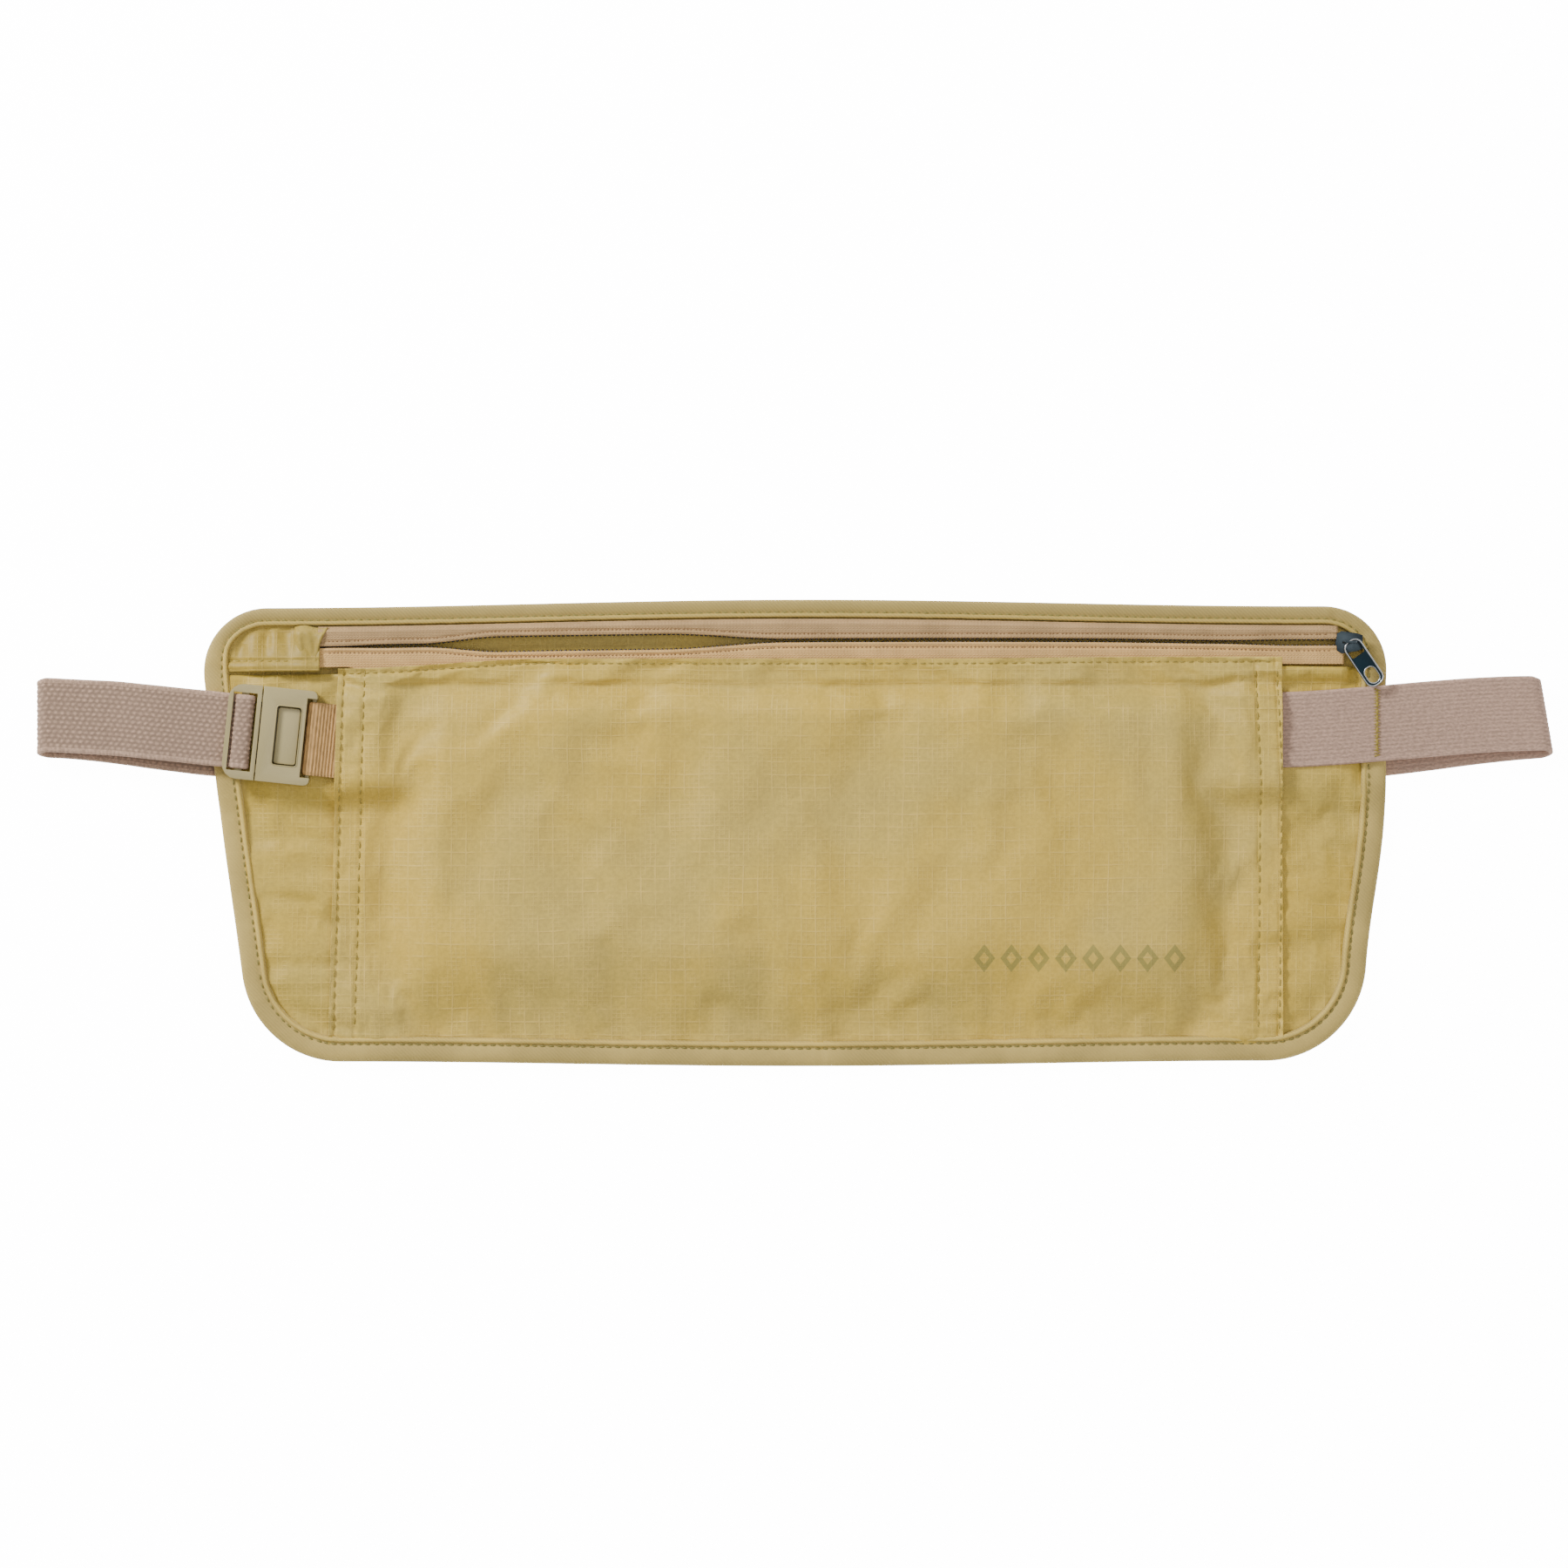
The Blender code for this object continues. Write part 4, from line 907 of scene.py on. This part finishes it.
def binding_stitches(band):
    points = []
    for reach in np.linspace(0.0, LENGTH, 1500):
        _, oy = outline_points(reach)
        width = float(binding_width(oy))
        x, y = outline_points(reach, 0.70 * width)
        points.append((x, y))
    stitches("binding_stitches", line_on(surface_of(band), points, 0.04), 1.7, 2.3, 0.2, OLIVE)


def corner_stitches(corner):
    points = [(x, 47.5) for x in np.linspace(-157.2, -139.2, 60)]
    stitches("corner_stitches", line_on(surface_of(corner), points, 0.05), 1.7, 2.3, 0.18, THREAD)


def tape_stitches(thing, sign, end, label):
    """Fine stitching that holds the teeth, beside the tape's edge."""
    xs = np.linspace(-129.0, end - 1.0, 700)
    points = [(x, float(zip_y(x)) + sign * (float(half_gap(x)) + 1.35)) for x in xs]
    stitches(f"tape_stitches_{label}", line_on(surface_of(thing), points, 0.03), 0.7, 1.15, 0.17, PEACH)


# ---------------------------------------------------------------- hard pieces

def hard_piece(node, name, look, slot, body, bevel):
    """Softened copy of a hard CAD piece: flat facets joined up and every sharp edge rounded."""
    source = bpy.data.objects[node]
    mesh = source.data.copy()
    mesh.transform(source.matrix_world)
    work = bmesh.new()
    work.from_mesh(mesh)
    bmesh.ops.remove_doubles(work, verts=work.verts, dist=0.00001)
    bmesh.ops.dissolve_limit(work, angle_limit=math.radians(1.0), verts=work.verts, edges=work.edges)
    sharp = [e for e in work.edges if len(e.link_faces) == 2 and e.calc_face_angle() > math.radians(28)]
    bmesh.ops.bevel(work, geom=sharp, offset=bevel * MM, segments=3, profile=0.5, affect="EDGES",
                    clamp_overlap=True)
    bmesh.ops.recalc_face_normals(work, faces=work.faces)
    work.to_mesh(mesh)
    work.free()
    mesh.shade_smooth()
    mesh.set_sharp_from_angle(angle=math.radians(40))
    thing = bpy.data.objects.new(name, mesh)
    bpy.context.scene.collection.objects.link(thing)
    place(thing, look, slot, body, node)


def tube(name, points, radius, closed, look, slot, body, flatten=1.0, sides=10):
    """Round bar along points: rims, the binding's fold and the zigzag tack."""
    verts = []
    faces = []
    count = len(points)
    for k in range(count):
        here = Vector(points[k])
        a = Vector(points[(k - 1) % count] if closed or k else points[0])
        b = Vector(points[(k + 1) % count] if closed or k < count - 1 else points[-1])
        along = (b - a).normalized()
        side = along.cross(Vector((0, 0, 1))).normalized()
        up = side.cross(along).normalized()
        for s in range(sides):
            t = 2 * math.pi * s / sides
            verts.append(tuple(here + side * radius * math.cos(t) + up * radius * flatten * math.sin(t)))
    skin(faces, count, sides, closed=closed)
    place(mesh_object(name, verts, faces), look, slot, body)


def rounded_loop(u0, u1, half, radius, steps=7):
    points = []
    for cu, cv, turn in ((u1 - radius, half - radius, 0), (u0 + radius, half - radius, 90),
                         (u0 + radius, -half + radius, 180), (u1 - radius, -half + radius, 270)):
        for k in range(steps + 1):
            a = math.radians(turn + 90 * k / steps)
            points.append((cu + radius * math.cos(a), cv + radius * math.sin(a)))
    return points


PULLER_ANGLE = math.radians(-56.0)
PULLER_Z = 8.1


def puller_pieces():
    hard_piece("zip_puller", "puller_plate", PULLER_PAINTED_REFLECTION, "gunmetal", "puller", 0.2)

    def at(u, v, z):
        c, s = math.cos(PULLER_ANGLE), math.sin(PULLER_ANGLE)
        return (ZIP_RIGHT[0] + u * c - v * s, ZIP_RIGHT[1] + u * s + v * c, PULLER_Z + z)

    rim = [at(u, v, 0.42) for u, v in rounded_loop(-0.15, 13.85, 2.5, 2.0)]
    tube("puller_rim", rim, 0.22, True, SILVER, "gunmetal", "puller")
    hole = [at(u, v, 0.42) for u, v in rounded_loop(8.45, 13.25, 1.75, 1.6)]
    tube("puller_hole_rim", hole, 0.17, True, SILVER, "gunmetal", "puller")


BUCKLE_AT = Vector((-145.0, 27.2, 0.0))
BUCKLE = Matrix.Translation(BUCKLE_AT) @ Matrix.Rotation(math.radians(-6.0), 4, "Z")


def buckle_pieces():
    hard_piece("buckle_housing", "housing_shell", PLASTIC, "buckle_plastic", "belt", 0.42)
    hard_piece("buckle_tongue", "tongue_frame", PLASTIC, "buckle_plastic", "tongue", 0.5)
    hard_piece("release_button", "release_pad", PLASTIC, "buckle_plastic", "button", 0.35)
    shade_line = [BUCKLE @ Vector((u, v, 9.98)) for u, v in rounded_loop(1.75, 8.75, 8.25, 0.9)]
    tube("window_lip", [tuple(p) for p in shade_line], 0.16, True, PLASTIC, "buckle_plastic", "belt")


# ---------------------------------------------------------------- straps

SUNK = 0.12


def smooth_path(points, rounds=3):
    """Corner-cut path through (x, y, z) points that keeps both ends."""
    line = np.array(points, dtype=float)
    for _ in range(rounds):
        a = line[:-1] * 0.75 + line[1:] * 0.25
        b = line[:-1] * 0.25 + line[1:] * 0.75
        cut = np.empty((2 * len(a), line.shape[1]))
        cut[0::2] = a
        cut[1::2] = b
        line = np.vstack([line[:1], cut, line[-1:]])
    return line


def evenly(line, step):
    run = np.concatenate([[0.0], np.cumsum(np.linalg.norm(np.diff(line, axis=0), axis=1))])
    at = np.linspace(0.0, run[-1], max(2, int(run[-1] / step)))
    return np.stack([np.interp(at, run, line[:, c]) for c in range(3)], axis=1), at


def strap(name, line, step, sides, width, thickness, texture, columns):
    """Woven strap along a path: rounded edges, and a weave height on both faces.

    sides is the width direction for each path point; texture(along, across) gives a height in millimetres
    and a lightness, kept in the weave attribute, that paints shade in the hollows of the weave and light on
    its tops.
    """
    path, at = evenly(line, step)
    count = len(path)
    aheads = np.gradient(path, axis=0)
    verts = []
    weave = []
    across = np.linspace(-0.5, 0.5, columns)
    for k in range(count):
        side = Vector(sides(k / (count - 1))).normalized()
        along = Vector(aheads[k]).normalized()
        normal = along.cross(side).normalized()
        here = Vector(path[k])
        wobble = 0.10 * noise.noise(Vector((at[k] / 9.0, 1.0, width)))
        for sign in (1.0, -1.0):
            for c in across if sign > 0 else across[::-1]:
                edge = max(0.0, (abs(c) - 0.475) / 0.025)
                half = thickness / 2 * math.sqrt(max(0.06, 1.0 - 0.94 * edge * edge))
                bump, light = texture(at[k], c * width)
                bump *= 1.0 - edge
                weave.append(light)
                place_at = here + side * (c * (width + wobble)) + normal * sign * (half - SUNK + bump)
                verts.append(tuple(place_at))
    faces = []
    skin(faces, count, 2 * columns)
    thing = mesh_object(name, verts, faces)
    lightness = thing.data.attributes.new("weave", "FLOAT", "POINT")
    lightness.data.foreach_set("value", np.array(weave, np.float32))
    return thing


def knit(along, across):
    """Rows of small loops, set half a step apart, between plain selvedges: height, and a lightness that
    paints shade between the loops.
    """
    if abs(across) > 8.9:
        pick = 0.5 + 0.5 * math.sin(along * 5.5)
        return 0.1 + 0.05 * pick, 0.6 + 0.4 * pick
    row = math.floor(across / 1.28)
    shift = 0.5 if row % 2 else 0.0
    a = (along / 1.75 + shift + 0.12 * math.sin(across * 1.7)) % 1.0 - 0.5
    b = (across / 1.28) % 1.0 - 0.5
    loop = math.exp(-(a * a + b * b) / 0.1)
    return 0.22 * loop - 0.03, min(1.0, 1.15 * loop)


# Lengthwise ribs: height, and a lightness that paints shade between the ribs and light on their tops.
def ribs(along, across):
    if abs(across) > 9.5:
        return 0.05, 1.0
    rib = 0.5 + 0.5 * math.sin(across * 2 * math.pi / 1.18)
    pick = 0.5 + 0.5 * math.sin(along * 7.0 + across * 3.0)
    return 0.1 * rib + 0.02 * pick, 0.25 + 0.6 * rib + 0.15 * pick


# Crosswise ribs: height, and a lightness that paints shade between the ribs.
def grosgrain(along, across):
    rib = 0.5 + 0.5 * math.sin(along * 2 * math.pi / 0.95)
    return 0.2 * rib - 0.06, rib


def fold_line(x, low, high, toward, y_low, y_high, count=17):
    radius = (high - low) / 2
    points = []
    for k in range(count):
        t = k / (count - 1)
        a = math.pi * t
        z = low + radius * (1 + math.cos(a))
        points.append((x + toward * radius * math.sin(a), lerp(y_high, y_low, t), z))
    return points


LOWER_Z = 0.66
UPPER_Z = 5.3


def right_strap():
    points = []
    for k in range(9):
        x = lerp(128.8, 204.9, k / 8)
        points.append((x, float(lerp(28.3, 33.1, ease((x - 128.0) / 78.0))), UPPER_Z))
    points += fold_line(205.0, LOWER_Z, UPPER_Z, 1.0, float(strap_centre(205.0)), 33.1)[1:]
    for k in range(1, 46):
        x = lerp(205.0, -150.0, k / 45)
        points.append((x, float(strap_centre(x)), LOWER_Z))

    def slant(t):
        return (-0.17 * float(ease(t / 0.17) * ease((0.26 - t) / 0.07)), 1.0, 0.0)

    thing = strap("strap_right", smooth_path(points, 2), 0.5, slant, STRAP_W + 0.4, 1.3, ribs, 96)
    return place(thing, RIBBED, "elastic", "belt", "waist_strap")


def left_strap():
    tail = [(-33.0, 5.35), (-22.0, 5.35), (-12.0, 5.35), (-6.2, 5.4)]
    turn = [(-5.35, 5.85), (-5.05, 6.75), (-5.05, 8.6), (-5.4, 9.35), (-6.1, 9.6), (-8.3, 9.6), (-9.0, 9.35)]
    leave = [(-9.3, 8.7), (-9.4, 7.6), (-9.9, 7.0), (-10.8, 6.9), (-22.0, 6.9), (-34.0, 6.9), (-42.0, 6.0)]
    points = [tuple(BUCKLE @ Vector((u, 0.0, z))) for u, z in tail + turn + leave]
    last = points[-1]
    for k in range(1, 4):
        t = k / 4
        points.append((lerp(last[0], -206.3, t), lerp(last[1], 32.6, t), lerp(last[2], UPPER_Z, t)))
    points += fold_line(-206.35, LOWER_Z, UPPER_Z, -1.0, float(strap_centre(206.35)), 32.6)
    points.append((-203.0, float(strap_centre(203.0)), LOWER_Z))
    tilted = BUCKLE.to_3x3() @ Vector((0, 1, 0))

    def straighten(t):
        return tilted.lerp(Vector((0, 1, 0)), float(ease((t - 0.62) / 0.2)))

    bend = strap("strap_left", smooth_path(points, 3), 0.3, straighten, STRAP_W, 1.2, knit, 96)
    place(bend, KNIT, "elastic", "tongue", "adjuster_strap")
    points = np.array([(x, float(strap_centre(x)), LOWER_Z) for x in np.linspace(-203.4, -149.0, 20)])
    lower = strap("strap_left_lower", points, 0.5, lambda t: (0, 1, 0), STRAP_W - 0.04, 1.24, knit, 96)
    place(lower, KNIT, "elastic", None)
    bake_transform(lower)


def webbing():
    lower = [(25.0, 5.15), (20.0, 5.15), (14.0, 5.15), (11.9, 5.35)]
    turn = [(11.0, 5.85), (10.6, 6.4), (10.5, 7.0), (10.6, 7.6), (11.0, 8.15), (11.8, 8.4), (12.8, 8.2)]
    upper = [(14.6, 7.4), (17.0, 6.5), (19.0, 6.35), (22.0, 6.35), (25.0, 6.35)]
    points = [tuple(BUCKLE @ Vector((u, 0.0, z))) for u, z in lower + turn + upper]
    side = tuple(BUCKLE.to_3x3() @ Vector((0, 1, 0)))
    thing = strap("webbing_loop", smooth_path(points, 3), 0.11, lambda t: side, 20.2, 0.8, grosgrain, 36)
    place(thing, GROSGRAIN, "webbing", "belt", "buckle_webbing")


TACK_X = 160.7


def tack(strap_thing):
    top_of = surface_of(strap_thing)
    zigzag = []
    for step, y in enumerate(np.linspace(39.7, 21.2, 47)):
        zigzag.append((TACK_X + (0.75 if step % 2 else -0.75), y))
    tube("strap_tack", line_on(top_of, zigzag, 0.08), 0.3, False, THREAD, "thread", "belt", 0.7, 6)
    row = line_on(top_of, [(TACK_X, y) for y in np.linspace(39.9, 21.0, 60)], 0.05)
    stitches("strap_tack_row", row, 1.7, 1.75, 0.27, THREAD, "strap_tack_thread")


# ---------------------------------------------------------------- build

front = front_panel()
left_rim = outline_run((-163.5, 43.6), (-131.5, -64.0), 96, RIM_INSET)
right_rim = outline_run((163.4, 45.9), (138.0, -64.0), 96, RIM_INSET, clockwise=True)
wing("left", left_rim, LEFT_EDGE, 43.9, 1.0)
wing("right", right_rim, RIGHT_EDGE, 46.1, -1.0)
corner = corner_panel()
end_tab()
back_panel()
corner_stitches(corner)
band = edge_binding()
tape_stitches(tape("tape_upper", "zip_tape_upper", 1.0, 150.0, TAPE_UPPER_PAINTED_SHADE), 1.0, 148.0, "upper")
tape_stitches(tape("tape_lower", "zip_tape_lower", -1.0, 151.6, TAPE), -1.0, 149.0, "lower")
teeth("teeth_upper", "zip_coil_upper", 1.0, 149.0)
teeth("teeth_lower", "zip_coil_lower", -1.0, 150.6)
seam_stitches(front)
binding_stitches(band)
hard_piece("zip_slider", "slider_body", GUNMETAL, "gunmetal", "slider", 0.3)
hard_piece("slider_bail", "slider_loop", GUNMETAL, "gunmetal", "slider", 0.12)
puller_pieces()
buckle_pieces()
right = right_strap()
left_strap()
webbing()
tack(right)


# ---------------------------------------------------------------- stage, light and camera

def floor():
    mesh = bpy.data.meshes.new("floor")
    size = 3.0
    corners = [(-size, -size, 0), (size, -size, 0), (size, size, 0), (-size, size, 0)]
    mesh.from_pydata(corners, [], [(0, 1, 2, 3)])
    thing = bpy.data.objects.new("floor", mesh)
    thing.location.z = -0.00012
    bpy.context.scene.collection.objects.link(thing)
    look = bpy.data.materials.new("floor")
    look.use_nodes = True
    shader = look.node_tree.nodes["Principled BSDF"]
    shader.inputs["Base Color"].default_value = (0.93, 0.93, 0.93, 1.0)
    shader.inputs["Roughness"].default_value = 0.9
    shader.inputs["Emission Color"].default_value = (1.0, 1.0, 1.0, 1.0)
    tree = look.node_tree
    seen = tree.nodes.new("ShaderNodeLightPath")
    glow = tree.nodes.new("ShaderNodeMix")
    glow.data_type = "FLOAT"
    glow.inputs["A"].default_value = 1.8
    glow.inputs["B"].default_value = 14.0
    tree.links.new(seen.outputs["Is Camera Ray"], glow.inputs["Factor"])
    tree.links.new(glow.outputs["Result"], shader.inputs["Emission Strength"])
    mesh.materials.append(look)


def area_light(name, at, target, size, power, color=(1.0, 1.0, 1.0)):
    data = bpy.data.lights.new(name, "AREA")
    data.shape = "DISK"
    data.size = size
    data.energy = power
    data.color = color
    thing = bpy.data.objects.new(name, data)
    bpy.context.scene.collection.objects.link(thing)
    thing.location = at
    thing.rotation_euler = (Vector(target) - Vector(at)).to_track_quat("-Z", "Y").to_euler()


def camera():
    data = bpy.data.cameras.new("camera")
    data.type = "PERSP"
    data.sensor_width = 36.0
    data.lens = 166.0
    data.clip_end = 20.0
    thing = bpy.data.objects.new("camera", data)
    bpy.context.scene.collection.objects.link(thing)
    thing.location = (-0.0029, 0.0135, 2.0)
    thing.rotation_euler = (0.0, 0.0, 0.0)
    bpy.context.scene.camera = thing


floor()
area_light("key", (-1.1, 0.95, 0.85), (0.0, 0.0, 0.0), 0.45, 36.0, (1.0, 0.99, 0.97))
area_light("fill", (0.9, -0.5, 1.3), (0.0, 0.0, 0.0), 1.4, 7.0)
area_light("top", (0.0, 0.2, 1.9), (0.0, 0.0, 0.0), 1.2, 8.0)
world = bpy.data.worlds.new("studio")
world.use_nodes = True
world.node_tree.nodes["Background"].inputs["Color"].default_value = (1.0, 1.0, 1.0, 1.0)
world.node_tree.nodes["Background"].inputs["Strength"].default_value = 0.42
bpy.context.scene.world = world
camera()
